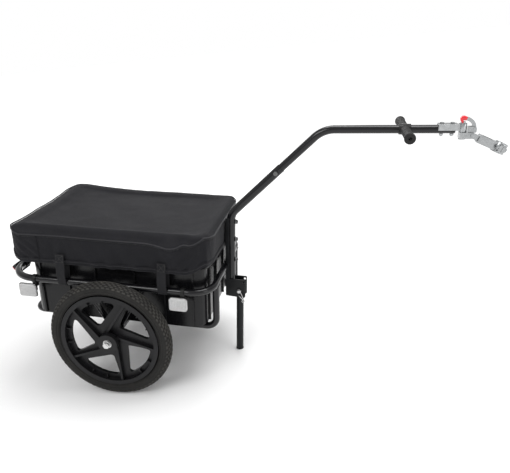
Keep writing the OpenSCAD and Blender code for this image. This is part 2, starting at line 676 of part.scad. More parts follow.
swivel_face = 19;
swivel_plate = 8;
module swivel_eye() color("#bfc3c6") at_pitch() difference() {
    union() {
        rod_y(-9, 9, 7.5);
        box(0, swivel_face - side_play, -9, 9, -7.5, 7.5);
        rod_x(swivel_face - 1, swivel_face + swivel_plate + 8, swivel_d / 2);
    }
    rod_y(-20, 20, pitch_pin_d / 2 + run_fit);
}
module swivel_nut() color("#9da1a4") at_pitch() translate([swivel_face + swivel_plate + side_play, 0, 0])
    rotate([0, 90, 0]) difference() {
        hex(0, 7, 16);
        translate([0, 0, -1]) cylinder(h = 12, r = swivel_d / 2 + e);
    }

clamp_split = 0.8;
bolt_y = clamp_r + 4;
module clamp_half(x0, x1) intersection() {
    union() {
        translate([post_x, 0, 0]) rod_z(-clamp_h / 2, clamp_h / 2, clamp_r);
        box(post_x - 9, post_x + 9, -bolt_y - 7, bolt_y + 7, -clamp_h / 2 + 5, clamp_h / 2 - 5);
    }
    box(x0, x1, -60, 60, -40, 40);
}
module clamp_holes() {
    translate([post_x, 0, 0]) rod_z(-clamp_h, clamp_h, post_r);
    for (s = [-1, 1]) translate([0, s * bolt_y, 0]) rod_x(post_x - 30, post_x + 30, 3 + bolt_fit);
}
module clamp_body() color("#c1c4c7") at_pitch() difference() {
    union() {
        clamp_half(post_x - 40, post_x - clamp_split / 2);
        box(swivel_face, swivel_face + swivel_plate, -14, 14, -12, 12);
        for (s = [0, 1]) mirror([0, s, 0]) box(swivel_face, post_x - post_r - 0.5, 10, 14, -12, 12);
        box(post_x - clamp_r - 8, post_x - post_r - 1, -14, 14, -12, 12);
    }
    clamp_holes();
    rod_x(swivel_face - 1, swivel_face + swivel_plate + 1, swivel_d / 2 + run_fit);
}
module clamp_jaw() color("#c1c4c7") at_pitch() difference() {
    clamp_half(post_x + clamp_split / 2, post_x + 40);
    clamp_holes();
}
module clamp_bolts() color("#a9adb0") at_pitch() for (s = [-1, 1]) translate([0, s * bolt_y, 0]) {
    rod_x(post_x - 16, post_x + 9, 3);
    translate([post_x + 9, 0, 0]) rotate([0, 90, 0]) hex(0, 5, 10);
    translate([post_x - 14.5, 0, 0]) rotate([0, 90, 0]) hex(0, 5.5, 10);
}

// ---- reflectors --------------------------------------------------------

module reflector_clamps() color("#131314") both_sides() for (p = reflector_x)
    translate([p[1], -hoop_y, hoop_z]) difference() {
        union() {
            rod_x(-clip_w / 2, clip_w / 2, tube_r + clip_t);
            box(-clip_w / 2, clip_w / 2, -7, 7, -tube_r - clip_t - 12, -tube_r);
            box(-clip_w / 2, clip_w / 2, -9, -4, -tube_r - clip_t - 24, -tube_r);
        }
        rod_x(-clip_w, clip_w, tube_r + run_fit);
    }

module reflector_plate(y0, y1, inset) for (p = reflector_x)
    translate([p[0], -hoop_y + y1, hoop_z - tube_r - clip_t - 0.5 - reflector_h / 2]) rotate([90, 0, 0])
        linear_extrude(y1 - y0) polygon(rounded(rect(reflector_w / 2 - inset, reflector_h / 2 - inset), 7));
module reflector_backs() color("#151516") both_sides() reflector_plate(-11.5, -9, 0);
module reflector_lenses() color("#f2f3f2") both_sides() reflector_plate(-17.5, -11.5, 1);

module at_rear_reflector() {
    translate([hoop_rear, rear_reflector_y, hoop_z]) rotate([0, 180 - rear_reflector_tilt, 0]) children();
}
module rear_reflector_clamp() color("#131314") at_rear_reflector() difference() {
    union() {
        rod_y(-10, 10, tube_r + clip_t);
        box(0, tube_r + 4, -10, 10, -8, 8);
    }
    rod_y(-20, 20, tube_r + run_fit);
}
module rear_reflector_body() color("#131314") at_rear_reflector()
    along_x(tube_r + 4, tube_r + 19) polygon(rounded(rect(27, 17), 5));
module rear_reflector_lens() color("#c3122a") at_rear_reflector()
    along_x(tube_r + 19, tube_r + 22.5) polygon(rounded(rect(26, 16), 4));

from_axle() upper_hoop();
from_axle() cradle_tube();
from_axle() axle_tube();
from_axle() right_wheel_bracket();
from_axle() left_wheel_bracket();
from_axle() mast_channel();
from_axle() mast_bolts();
from_axle() mast_nuts();
from_axle() stand_bracket();
from_axle() leg_washers();
from_axle() crate_stops();
from_axle() crate();
from_axle() cover();
from_axle() right_straps();
from_axle() left_straps();
from_axle() tow_tube_lower();
from_axle() tow_tube_upper();
from_axle() tow_joint_bolt();
from_axle() handle_bar();
from_axle() handle_tee();
from_axle() right_grip();
from_axle() left_grip();
from_axle() coupler_channel();
from_axle() coupler_bolts();
from_axle() right_axle_bolt();
from_axle() left_axle_bolt();
from_axle() axle_washers();
from_axle() right_tyre();
from_axle() right_inner_tube();
from_axle() right_rim();
from_axle() right_bearings();
from_axle() right_valve();
from_axle() left_tyre();
from_axle() left_inner_tube();
from_axle() left_rim();
from_axle() left_bearings();
from_axle() left_valve();
from_axle() stand_leg();
from_axle() stand_foot();
from_axle() stand_pin();
from_axle() stand_pin_clip();
from_axle() hitch_yoke();
from_axle() hitch_pin();
from_axle() lock_hook();
from_axle() hook_cap();
from_axle() hook_pin();
from_axle() pitch_pin();
from_axle() swivel_eye();
from_axle() swivel_nut();
from_axle() clamp_body();
from_axle() clamp_jaw();
from_axle() clamp_bolts();
from_axle() reflector_clamps();
from_axle() reflector_backs();
from_axle() reflector_lenses();
from_axle() rear_reflector_clamp();
from_axle() rear_reflector_body();
from_axle() rear_reflector_lens();
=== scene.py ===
import json
import math
import random

import bmesh
import bpy
from mathutils import Matrix, Vector, noise


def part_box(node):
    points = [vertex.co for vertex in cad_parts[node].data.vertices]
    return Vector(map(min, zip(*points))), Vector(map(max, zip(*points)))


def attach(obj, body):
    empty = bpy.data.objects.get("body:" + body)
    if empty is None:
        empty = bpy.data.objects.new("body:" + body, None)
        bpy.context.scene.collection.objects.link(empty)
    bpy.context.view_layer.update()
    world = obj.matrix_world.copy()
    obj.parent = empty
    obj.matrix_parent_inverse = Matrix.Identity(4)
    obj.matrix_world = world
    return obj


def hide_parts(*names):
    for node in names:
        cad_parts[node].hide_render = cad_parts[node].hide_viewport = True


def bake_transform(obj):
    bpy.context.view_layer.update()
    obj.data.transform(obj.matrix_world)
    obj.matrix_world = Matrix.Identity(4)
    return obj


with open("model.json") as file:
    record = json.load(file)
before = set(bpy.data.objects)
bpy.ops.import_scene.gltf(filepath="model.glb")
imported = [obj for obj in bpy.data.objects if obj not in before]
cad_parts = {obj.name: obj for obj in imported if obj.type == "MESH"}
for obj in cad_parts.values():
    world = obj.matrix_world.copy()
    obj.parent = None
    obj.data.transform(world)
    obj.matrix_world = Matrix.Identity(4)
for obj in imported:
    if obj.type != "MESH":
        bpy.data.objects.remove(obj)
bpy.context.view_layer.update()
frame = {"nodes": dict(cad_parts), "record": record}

bl_info = {
    "name": "Bicycle cargo trailer",
    "version": (1, 0, 0),
    "blender": (4, 5, 0),
    "location": "3D View > Sidebar > Trailer",
    "description": "Finishes and soft parts for a bicycle cargo trailer",
    "category": "Object",
}

NODES = frame["nodes"]


def middle(node):
    lo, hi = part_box(node)
    return (lo + hi) / 2


AXLE = middle("right_tyre")                 # the right wheel's centre
AX = AXLE.x
WHEEL_R = AXLE.z
HOOP_LO, HOOP_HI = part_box("upper_hoop")
HOOP_Z = (HOOP_LO.z + HOOP_HI.z) / 2
TUBE_R = (HOOP_HI.z - HOOP_LO.z) / 2
HOOP_Y = HOOP_HI.y - TUBE_R
CRATE_LO, CRATE_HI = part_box("crate")
CRATE_HX, CRATE_HY = (CRATE_HI.x - CRATE_LO.x) / 2, (CRATE_HI.y - CRATE_LO.y) / 2
STRAP_X = [AX - 0.160, AX + 0.170]          # the rear and the front strap of each side


# ---- sizes and colours that a user would change -------------------------

def colour(name, text, value):
    return bpy.props.FloatVectorProperty(name=name, description=text, default=value, size=3,
                                         min=0, max=1, subtype="COLOR")


def length(name, text, value):
    return bpy.props.FloatProperty(name=name, description=text, default=value, min=0,
                                   unit="LENGTH", subtype="DISTANCE")


class FinishSettings(bpy.types.PropertyGroup):
    tube_paint: colour("Tube paint", "Gloss paint of the tubes", (0.0040, 0.0040, 0.0048))
    bracket_paint: colour("Bracket paint", "Satin paint of the folded brackets",
                          (0.0050, 0.0056, 0.0062))
    plastic: colour("Crate plastic", "Moulded plastic of the crate", (0.0045, 0.0045, 0.0052))
    fabric: colour("Cover fabric", "Woven fabric of the cover", (0.0082, 0.0082, 0.0098))
    webbing: colour("Webbing", "Woven webbing of the straps", (0.0080, 0.0080, 0.0092))
    tyre: colour("Tyre rubber", "Rubber of the tyres", (0.0135, 0.0132, 0.0126))
    wheel: colour("Wheel plastic", "Moulded plastic of the wheels", (0.0060, 0.0060, 0.0068))
    zinc: colour("Zinc", "Galvanised steel of the hitch", (0.37, 0.38, 0.385))
    red: colour("Red", "Red cap and red reflector", (0.62, 0.012, 0.022))


class CoverSettings(bpy.types.PropertyGroup):
    skirt: length("Skirt", "Height of the cover's sides", 0.092)
    overhang: length("Overhang", "How far the top panel reaches past the crate on the right", 0.028)
    cell: length("Cell", "Size of the cloth's cells before they are split once", 0.009)
    thickness: length("Thickness", "Thickness of the fabric", 0.0011)
    frames: bpy.props.IntProperty(name="Frames", description="Frames that the cloth falls for",
                                  default=26, min=2, max=80)


class TreadSettings(bpy.types.PropertyGroup):
    pitches: bpy.props.IntProperty(name="Pitches",
                                   description="Times that the tread pattern repeats",
                                   default=72, min=20, max=140)
    height: length("Block height", "Height of the tread blocks", 0.0027)


class StageSettings(bpy.types.PropertyGroup):
    floor: colour("Floor", "Colour of the floor", (0.95, 0.95, 0.95))
    sky: bpy.props.FloatProperty(name="Sky", description="Strength of the light from all round",
                                 default=0.62, min=0)


# ---- shader helpers ------------------------------------------------------

class Graph:
    """Short forms for building a node tree."""

    def __init__(self, tree):
        self.tree = tree

    def join(self, source, socket):
        self.tree.links.new(source, socket)

    def feed(self, socket, value):
        """Links a socket to another one, or gives it a plain value."""
        if isinstance(value, bpy.types.NodeSocket):
            self.join(value, socket)
        else:
            socket.default_value = value

    def add(self, kind, inputs=None, **settings):
        node = self.tree.nodes.new(kind)
        for key, value in settings.items():
            setattr(node, key, value)
        for key, value in (inputs or {}).items():
            self.feed(node.inputs[key], value)
        return node

    def math(self, operation, *values, clamp=False):
        node = self.add("ShaderNodeMath", dict(enumerate(values)),
                        operation=operation, use_clamp=clamp)
        return node.outputs[0]

    def ramp(self, value, low, high, out_low=0.0, out_high=1.0):
        node = self.add("ShaderNodeMapRange", {"Value": value, "From Min": low, "From Max": high,
                                               "To Min": out_low, "To Max": out_high})
        return node.outputs["Result"]

    def blend(self, factor, a, b):
        node = self.add("ShaderNodeMix", data_type="RGBA", clamp_factor=True)
        for name, value in (("Factor_Float", factor), ("A_Color", a), ("B_Color", b)):
            self.feed(next(s for s in node.inputs if s.identifier == name), value)
        return next(s for s in node.outputs if s.identifier == "Result_Color")


def new_tree(kind, name, inputs, outputs):
    """A node group with named sockets, and its own input and output nodes."""
    tree = bpy.data.node_groups.new(name, kind)
    for label, socket_kind, value in inputs:
        socket = tree.interface.new_socket(label, in_out="INPUT", socket_type=socket_kind)
        if value is not None:
            socket.default_value = value
    for label, socket_kind in outputs:
        tree.interface.new_socket(label, in_out="OUTPUT", socket_type=socket_kind)
    graph = Graph(tree)
    return graph, graph.add("NodeGroupInput").outputs, graph.add("NodeGroupOutput").inputs


def shader_group(name, inputs, outputs):
    return new_tree("ShaderNodeTree", name, inputs, outputs)


FLOAT, VECTOR = "NodeSocketFloat", "NodeSocketVector"
SHAPE = "NodeSocketGeometry"
GROUPS = {}


def make_groups():
    g, i, o = shader_group("Surface grain", [("Vector", VECTOR, None), ("Scale", FLOAT, 300.0),
                                             ("Detail", FLOAT, 4.0), ("Depth", FLOAT, 0.0001)],
                           [("Value", FLOAT), ("Normal", VECTOR)])
    n = g.add("ShaderNodeTexNoise", {"Vector": i["Vector"], "Scale": i["Scale"], "Detail": i["Detail"],
                                     "Roughness": 0.62})
    b = g.add("ShaderNodeBump", {"Height": n.outputs["Fac"], "Distance": i["Depth"]})
    g.join(n.outputs["Fac"], o["Value"])
    g.join(b.outputs["Normal"], o["Normal"])
    GROUPS["grain"] = g.tree

    g, i, o = shader_group("Scuffs", [("Vector", VECTOR, None), ("Scale", FLOAT, 40.0),
                                      ("Amount", FLOAT, 0.2)], [("Mask", FLOAT)])
    stretch = g.add("ShaderNodeMapping", {"Vector": i["Vector"], "Rotation": (0.3, 0.5, 0.9),
                                          "Scale": (1.0, 9.0, 3.0)})
    fine = g.add("ShaderNodeTexNoise",
                 {"Vector": stretch.outputs[0], "Scale": i["Scale"], "Detail": 6.0})
    broad = g.add("ShaderNodeTexNoise", {"Vector": i["Vector"], "Scale": 9.0, "Detail": 2.0})
    mask = g.math("MULTIPLY", g.ramp(fine.outputs["Fac"], 0.56, 0.72),
                  g.ramp(broad.outputs["Fac"], 0.42, 0.66))
    g.join(g.math("MULTIPLY", mask, i["Amount"], clamp=True), o["Mask"])
    GROUPS["scuffs"] = g.tree

    g, i, o = shader_group("Dust", [("Vector", VECTOR, None), ("Scale", FLOAT, 30.0),
                                    ("Amount", FLOAT, 0.3)], [("Mask", FLOAT)])
    n = g.add("ShaderNodeTexNoise", {"Vector": i["Vector"], "Scale": i["Scale"], "Detail": 8.0,
                                     "Roughness": 0.7})
    up = g.add("ShaderNodeSeparateXYZ", {"Vector": g.add("ShaderNodeNewGeometry").outputs["Normal"]})
    facing = g.ramp(up.outputs["Z"], -0.4, 1.0, 0.25, 1.0)
    mask = g.math("MULTIPLY", g.ramp(n.outputs["Fac"], 0.40, 0.75), facing)
    g.join(g.math("MULTIPLY", mask, i["Amount"], clamp=True), o["Mask"])
    GROUPS["dust"] = g.tree

    g, i, o = shader_group("Worn edges", [("Vector", VECTOR, None), ("Radius", FLOAT, 0.0015),
                                          ("Amount", FLOAT, 0.4)], [("Mask", FLOAT)])
    soft = g.add("ShaderNodeBevel", {"Radius": i["Radius"]}, samples=4)
    flat = g.add("ShaderNodeNewGeometry").outputs["Normal"]
    dot = g.add("ShaderNodeVectorMath", {0: soft.outputs[0], 1: flat}, operation="DOT_PRODUCT")
    edge = g.ramp(dot.outputs["Value"], 0.98, 0.78)
    n = g.add("ShaderNodeTexNoise", {"Vector": i["Vector"], "Scale": 160.0, "Detail": 4.0})
    mask = g.math("MULTIPLY", edge, g.ramp(n.outputs["Fac"], 0.35, 0.65))
    g.join(g.math("MULTIPLY", mask, i["Amount"], clamp=True), o["Mask"])
    GROUPS["edges"] = g.tree

    g, i, o = shader_group("Woven cloth", [("Vector", VECTOR, None), ("Pitch", FLOAT, 0.0008),
                                           ("Depth", FLOAT, 0.0002)],
                           [("Value", FLOAT), ("Normal", VECTOR)])
    per_metre = g.math("DIVIDE", math.tau, i["Pitch"])
    cells = g.add("ShaderNodeVectorMath", {0: i["Vector"], "Scale": per_metre}, operation="SCALE")
    xyz = g.add("ShaderNodeSeparateXYZ", {"Vector": cells.outputs[0]})
    sx, sy = g.math("SINE", xyz.outputs["X"]), g.math("SINE", xyz.outputs["Y"])
    over = g.math("MULTIPLY", sx, sy)
    height = g.math("ADD", g.math("MULTIPLY", over, 0.5), 0.5)
    b = g.add("ShaderNodeBump", {"Height": height, "Distance": i["Depth"]})
    g.join(height, o["Value"])
    g.join(b.outputs["Normal"], o["Normal"])
    GROUPS["weave"] = g.tree


def grey(v):
    return (v, v, v, 1.0)


def rgba(c, k=1.0):
    return (min(c[0] * k, 1), min(c[1] * k, 1), min(c[2] * k, 1), 1.0)


MATERIALS = {}


def material(name, base, light, grain=(300, 0.0001), rough=(0.3, 0.5), metallic=0.0, coat=0.0, sheen=0.0,
             scuffs=0.0, dust=0.0, edges=0.0, edge_colour=None, specular=0.5, uv=None, weave=None):
    """A Principled material whose colour, roughness and normal come from the shared groups."""
    mat = bpy.data.materials.new(name)
    mat.use_nodes = True
    mat.node_tree.nodes.clear()
    g = Graph(mat.node_tree)
    if uv:
        place = g.add("ShaderNodeUVMap", uv_map=uv).outputs["UV"]
    else:
        place = g.add("ShaderNodeTexCoord").outputs["Object"]

    def group(kind, **inputs):
        return g.add("ShaderNodeGroup", {"Vector": place, **inputs}, node_tree=GROUPS[kind]).outputs

    object_place = g.add("ShaderNodeTexCoord").outputs["Object"]
    broad = g.add("ShaderNodeTexNoise",
                  {"Vector": object_place, "Scale": 14.0, "Detail": 5.0}).outputs["Fac"]
    colour_now = g.blend(g.ramp(broad, 0.3, 0.7), base, light)
    surface = group("grain", Scale=grain[0], Depth=grain[1])
    rough_now = g.ramp(surface["Value"], 0.25, 0.75, rough[0], rough[1])
    normal = surface["Normal"]
    if weave:
        cloth = group("weave", Pitch=weave[0], Depth=weave[1])
        # painted shade and highlight: the weave's raised threads are painted lighter and its hollows
        # darker
        colour_now = g.blend(g.math("MULTIPLY", cloth["Value"], 0.45), colour_now, rgba(base, 2.3))
        over_weave = g.add("ShaderNodeBump", {"Height": surface["Value"], "Distance": grain[1],
                                             "Normal": cloth["Normal"]})
        normal = over_weave.outputs["Normal"]
    if scuffs:
        mask = group("scuffs", Amount=scuffs)["Mask"]
        colour_now = g.blend(mask, colour_now, rgba(light, 3.0))
        rough_now = g.math("ADD", rough_now, g.math("MULTIPLY", mask, 0.35), clamp=True)
    if dust:
        mask = g.add("ShaderNodeGroup", {"Vector": object_place, "Amount": dust},
                     node_tree=GROUPS["dust"]).outputs["Mask"]
        colour_now = g.blend(mask, colour_now, (0.16, 0.145, 0.12, 1.0))
        rough_now = g.math("ADD", rough_now, g.math("MULTIPLY", mask, 0.4), clamp=True)
    if edges:
        mask = group("edges", Amount=edges)["Mask"]
        colour_now = g.blend(mask, colour_now, edge_colour or rgba(light, 4.0))
    shader = g.add("ShaderNodeBsdfPrincipled", {
        "Base Color": colour_now, "Roughness": rough_now, "Normal": normal, "Metallic": metallic,
        "Specular IOR Level": specular, "Coat Weight": coat, "Coat Roughness": 0.12,
        "Sheen Weight": sheen, "Sheen Roughness": 0.45})
    out = g.add("ShaderNodeOutputMaterial", {"Surface": shader.outputs[0]})
    out.location = (400, 0)
    MATERIALS[name] = mat
    return mat


def spangled(name, base, light):
    """Galvanised steel: crystals of slightly different brightness, and brushed grain."""
    mat = material(name, base, light, grain=(420, 0.00005), rough=(0.18, 0.38), metallic=1.0,
                   scuffs=0.08)
    g = Graph(mat.node_tree)
    place = g.add("ShaderNodeTexCoord").outputs["Object"]
    cells = g.add("ShaderNodeTexVoronoi", {"Vector": place, "Scale": 210.0}).outputs["Color"]
    value = g.add("ShaderNodeSeparateColor", {"Color": cells}).outputs[0]
    shader = next(n for n in g.tree.nodes if n.type == "BSDF_PRINCIPLED")
    before = shader.inputs["Base Color"].links[0].from_socket
    mixed = g.blend(g.ramp(value, 0.0, 1.0, 0.0, 0.34), before, rgba(base, 0.62))
    g.join(mixed, shader.inputs["Base Color"])
    return mat


def prismatic(name, base, light):
    """A reflector: tiny prisms behind a clear face."""
    mat = material(name, base, light, grain=(160, 0.00005), rough=(0.08, 0.2), coat=1.0)
    g = Graph(mat.node_tree)
    place = g.add("ShaderNodeTexCoord").outputs["Object"]
    cells = g.add("ShaderNodeTexVoronoi", {"Vector": place, "Scale": 380.0},
                  feature="DISTANCE_TO_EDGE")
    shader = next(n for n in g.tree.nodes if n.type == "BSDF_PRINCIPLED")
    before = shader.inputs["Base Color"].links[0].from_socket
    depth = g.ramp(cells.outputs["Distance"], 0.0, 0.12)
    # painted shade: darker towards each prism's edge, where the bump sinks into a groove
    mixed = g.blend(depth, rgba(base, 0.80), before)
    g.join(mixed, shader.inputs["Base Color"])
    bump = g.add("ShaderNodeBump", {"Height": depth, "Distance": 0.0004})
    g.join(bump.outputs["Normal"], shader.inputs["Normal"])
    return mat


class TRAILER_OT_finishes(bpy.types.Operator):
    """Builds the materials and puts one on each node of the frame"""
    bl_idname = "trailer.finishes"
    bl_label = "Finishes"

    def execute(self, context):
        s = context.scene.trailer_finish
        make_groups()
        c = {k: tuple(getattr(s, k)) for k in s.bl_rna.properties.keys()
             if k not in ("rna_type", "name")}
        material("frame_paint", rgba(c["tube_paint"]), rgba(c["tube_paint"], 1.5), grain=(140, 0.00003),
                 rough=(0.14, 0.22), coat=0.35, scuffs=0.03, dust=0.0, specular=0.22)
        material("bracket_paint", rgba(c["bracket_paint"]), rgba(c["bracket_paint"], 1.5),
                 grain=(500, 0.00006), rough=(0.30, 0.44), coat=0.06, scuffs=0.05, edges=0.4,
                 edge_colour=grey(0.05), specular=0.2)
        material("dark_fastener", grey(0.10), grey(0.16), grain=(500, 0.0001), rough=(0.3, 0.5),
                 metallic=1.0, edges=0.4, edge_colour=grey(0.25))
        material("bright_steel", grey(0.52), grey(0.66), grain=(500, 0.00006), rough=(0.16, 0.34),
                 metallic=1.0, scuffs=0.1, edges=0.4, edge_colour=grey(0.8))
        spangled("galvanised", rgba(c["zinc"]), rgba(c["zinc"], 1.25))
        material("crate_plastic", rgba(c["plastic"]), rgba(c["plastic"], 1.5), grain=(700, 0.00012),
                 rough=(0.16, 0.28), scuffs=0.04, dust=0.01, edges=0.3, edge_colour=grey(0.022),
                 specular=0.26)
        material("cover_fabric", rgba(c["fabric"]), rgba(c["fabric"], 1.35), grain=(180, 0.0004),
                 rough=(0.72, 0.92), sheen=0.04, dust=0.02, uv="flat", weave=(0.0011, 0.00016),
                 specular=0.15)
        # the piping is the cover's fabric painted lighter: a painted highlight along the seam
        material("cover_binding", rgba(c["fabric"], 1.5), rgba(c["fabric"], 2.2), grain=(700, 0.0002),
                 rough=(0.45, 0.62), sheen=0.05, specular=0.28)
        material("webbing", rgba(c["webbing"]), rgba(c["webbing"], 1.4), grain=(600, 0.0002),
                 rough=(0.55, 0.8), sheen=0.03, uv="flat", weave=(0.0022, 0.0004), specular=0.18)
        material("thread", grey(0.022), grey(0.04), grain=(900, 0.0001), rough=(0.5, 0.7), sheen=0.2)
        material("black_plastic", grey(0.007), grey(0.012), grain=(650, 0.00010), rough=(0.34, 0.52),
                 scuffs=0.06, edges=0.35, edge_colour=grey(0.04), specular=0.25)
        material("grip_rubber", grey(0.010), grey(0.016), grain=(520, 0.0003), rough=(0.5, 0.7),
                 dust=0.03, specular=0.25)
        material("tyre_rubber", rgba(c["tyre"]), rgba(c["tyre"], 1.35), grain=(420, 0.0003),
                 rough=(0.60, 0.82), dust=0.12, specular=0.2)
        material("tread_rubber", rgba(c["tyre"], 2.2), rgba(c["tyre"], 3.2), grain=(420, 0.0003),
                 rough=(0.66, 0.88), dust=0.30, specular=0.2)
        material("tube_rubber", grey(0.012), grey(0.02), grain=(300, 0.0002), rough=(0.4, 0.6), dust=0.1)
        material("wheel_plastic", rgba(c["wheel"]), rgba(c["wheel"], 1.5), grain=(560, 0.00012),
                 rough=(0.30, 0.44), scuffs=0.05, dust=0.02, edges=0.3, edge_colour=grey(0.035),
                 specular=0.25)
        material("red_plastic", rgba(c["red"]), rgba(c["red"], 1.3), grain=(300, 0.0001),
                 rough=(0.22, 0.36), coat=0.4, scuffs=0.1)
        prismatic("clear_reflector", grey(0.50), grey(0.68))
        prismatic("red_reflector", rgba(c["red"], 0.7), rgba(c["red"], 1.4))
        slots = {p["node"]: p["material_slot"] for p in frame["record"]["subparts"]}
        for name, node in NODES.items():
            node.data.materials.clear()
            node.data.materials.append(MATERIALS[slots[name]])
        return {"FINISHED"}


# ---- mesh helpers --------------------------------------------------------

def linked(name, data):
    obj = bpy.data.objects.new(name, data)
    bpy.context.scene.collection.objects.link(obj)
    return obj


def bare(name, bm):
    """An object from a bmesh, at the origin, with no material yet."""
    mesh = bpy.data.meshes.new(name)
    bm.to_mesh(mesh)
    bm.free()
    return linked(name, mesh)


def skin(bm, rings, closed=False):
    """Faces between rings of vertices, each ring closed on itself."""
    pairs = zip(rings, rings[1:] + rings[:1]) if closed else zip(rings, rings[1:])
    for a, b in pairs:
        for k in range(len(a)):
            n = (k + 1) % len(a)
            bm.faces.new([a[k], a[n], b[n], b[k]])


def piece(name, bm, mat, body=None, smooth=True, sharp=None):
    """A finished object from a bmesh, at the origin, riding on a body."""
    obj = bare(name, bm)
    mesh = obj.data
    mesh.materials.append(MATERIALS[mat])
    if smooth:
        mesh.polygons.foreach_set("use_smooth", [True] * len(mesh.polygons))
        if sharp:
            mesh.set_sharp_from_angle(angle=math.radians(sharp))
    if body:
        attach(obj, body)
    return obj


def baked(obj):
    """The object with its modifiers made part of its mesh."""
    graph = bpy.context.evaluated_depsgraph_get()
    graph.update()
    mesh = bpy.data.meshes.new_from_object(obj.evaluated_get(graph), depsgraph=graph)
    obj.modifiers.clear()
    old = obj.data
    obj.data = mesh
    bpy.data.meshes.remove(old)
    mesh.name = obj.name
    return obj


def outward(bm, merge=1e-6):
    bmesh.ops.remove_doubles(bm, verts=bm.verts, dist=merge)
    bmesh.ops.recalc_face_normals(bm, faces=bm.faces)


def lathe(bm, profile, centre, axis, start, sides):
    """Turns a closed profile of (radius, along) about an axis, start being the radius' direction."""
    axis, start = axis.normalized(), start.normalized()
    across = axis.cross(start)
    rings = []
    for k in range(sides):
        a = math.tau * k / sides
        out = start * math.cos(a) + across * math.sin(a)
        rings.append([bm.verts.new(centre + out * r + axis * h) for r, h in profile])
    skin(bm, rings, closed=True)


def frames_along(points, up=Vector((0, 0, 1)), closed=False):
    """Tangent, side and normal at each point of a path, without twist."""
    out = []
    n = len(points)
    side = None
    for k in range(n):
        a = points[(k - 1) % n] if closed or k else points[0]
        b = points[(k + 1) % n] if closed or k < n - 1 else points[-1]
        t = (b - a).normalized()
        if side is None:
            side = t.cross(up)
            side = side.normalized() if side.length > 1e-3 else t.orthogonal().normalized()
        side = (side - t * side.dot(t)).normalized()
        out.append((t, side, t.cross(side)))
    return out


def tube(bm, points, radius, sides=8, closed=False):
    """A round bar along a path; radius is a number or one for each point."""
    rings = []
    for k, (t, side, up) in enumerate(frames_along(points, closed=closed)):
        r = radius[k] if hasattr(radius, "__len__") else radius
        rings.append([bm.verts.new(points[k] + (side * math.cos(a) + up * math.sin(a)) * r)
                      for a in (math.tau * i / sides for i in range(sides))])
    skin(bm, rings, closed)
    if not closed:
        bm.faces.new(list(reversed(rings[0])))
        bm.faces.new(rings[-1])


def band(bm, points, width_dir, width, thick, uv):
    """A flat strap along a path, with its own flat map in metres."""
    half, rows, run = width_dir.normalized() * width / 2, [], 0.0
    for k, p in enumerate(points):
        t = (points[min(k + 1, len(points) - 1)] - points[max(k - 1, 0)]).normalized()
        out = t.cross(width_dir).normalized()
        if k:
            run += (p - points[k - 1]).length
        corners = [p - half + out * thick / 2, p + half + out * thick / 2,
                   p + half - out * thick / 2, p - half - out * thick / 2]
        rows.append(([bm.verts.new(c) for c in corners], run))
    for (a, ra), (b, rb) in zip(rows, rows[1:]):
        for i in range(4):
            j = (i + 1) % 4
            f = bm.faces.new([a[i], a[j], b[j], b[i]])
            across = [0, width, width, 0] if i in (0, 2) else [0, thick, thick, 0]
            for loop, (u, v) in zip(f.loops, zip(across, [ra, ra, rb, rb])):
                loop[uv].uv = (u, v)
    bm.faces.new(list(reversed(rows[0][0])))
    bm.faces.new(rows[-1][0])


def soften(obj, width, angle=35, segments=2):
    """Rounds an object's sharp edges; its loose faces are joined first."""
    weld = obj.modifiers.new("Join", "WELD")
    weld.merge_threshold = 1e-5
    bev = obj.modifiers.new("Round", "BEVEL")
    bev.width, bev.segments, bev.limit_method = width, segments, "ANGLE"
    bev.angle_limit = math.radians(angle)


# ---- geometry node helpers -----------------------------------------------

def node_tree(name, inputs):
    return new_tree("GeometryNodeTree", name, [("Geometry", SHAPE, None), *inputs],
                    [("Geometry", SHAPE)])


def finish_tree(g, geometry, mat, out):
    real = g.add("GeometryNodeRealizeInstances", {"Geometry": geometry})
    done = g.add("GeometryNodeSetMaterial", {"Geometry": real.outputs[0], "Material": mat})
    g.join(done.outputs[0], out[0])


TREES = {}


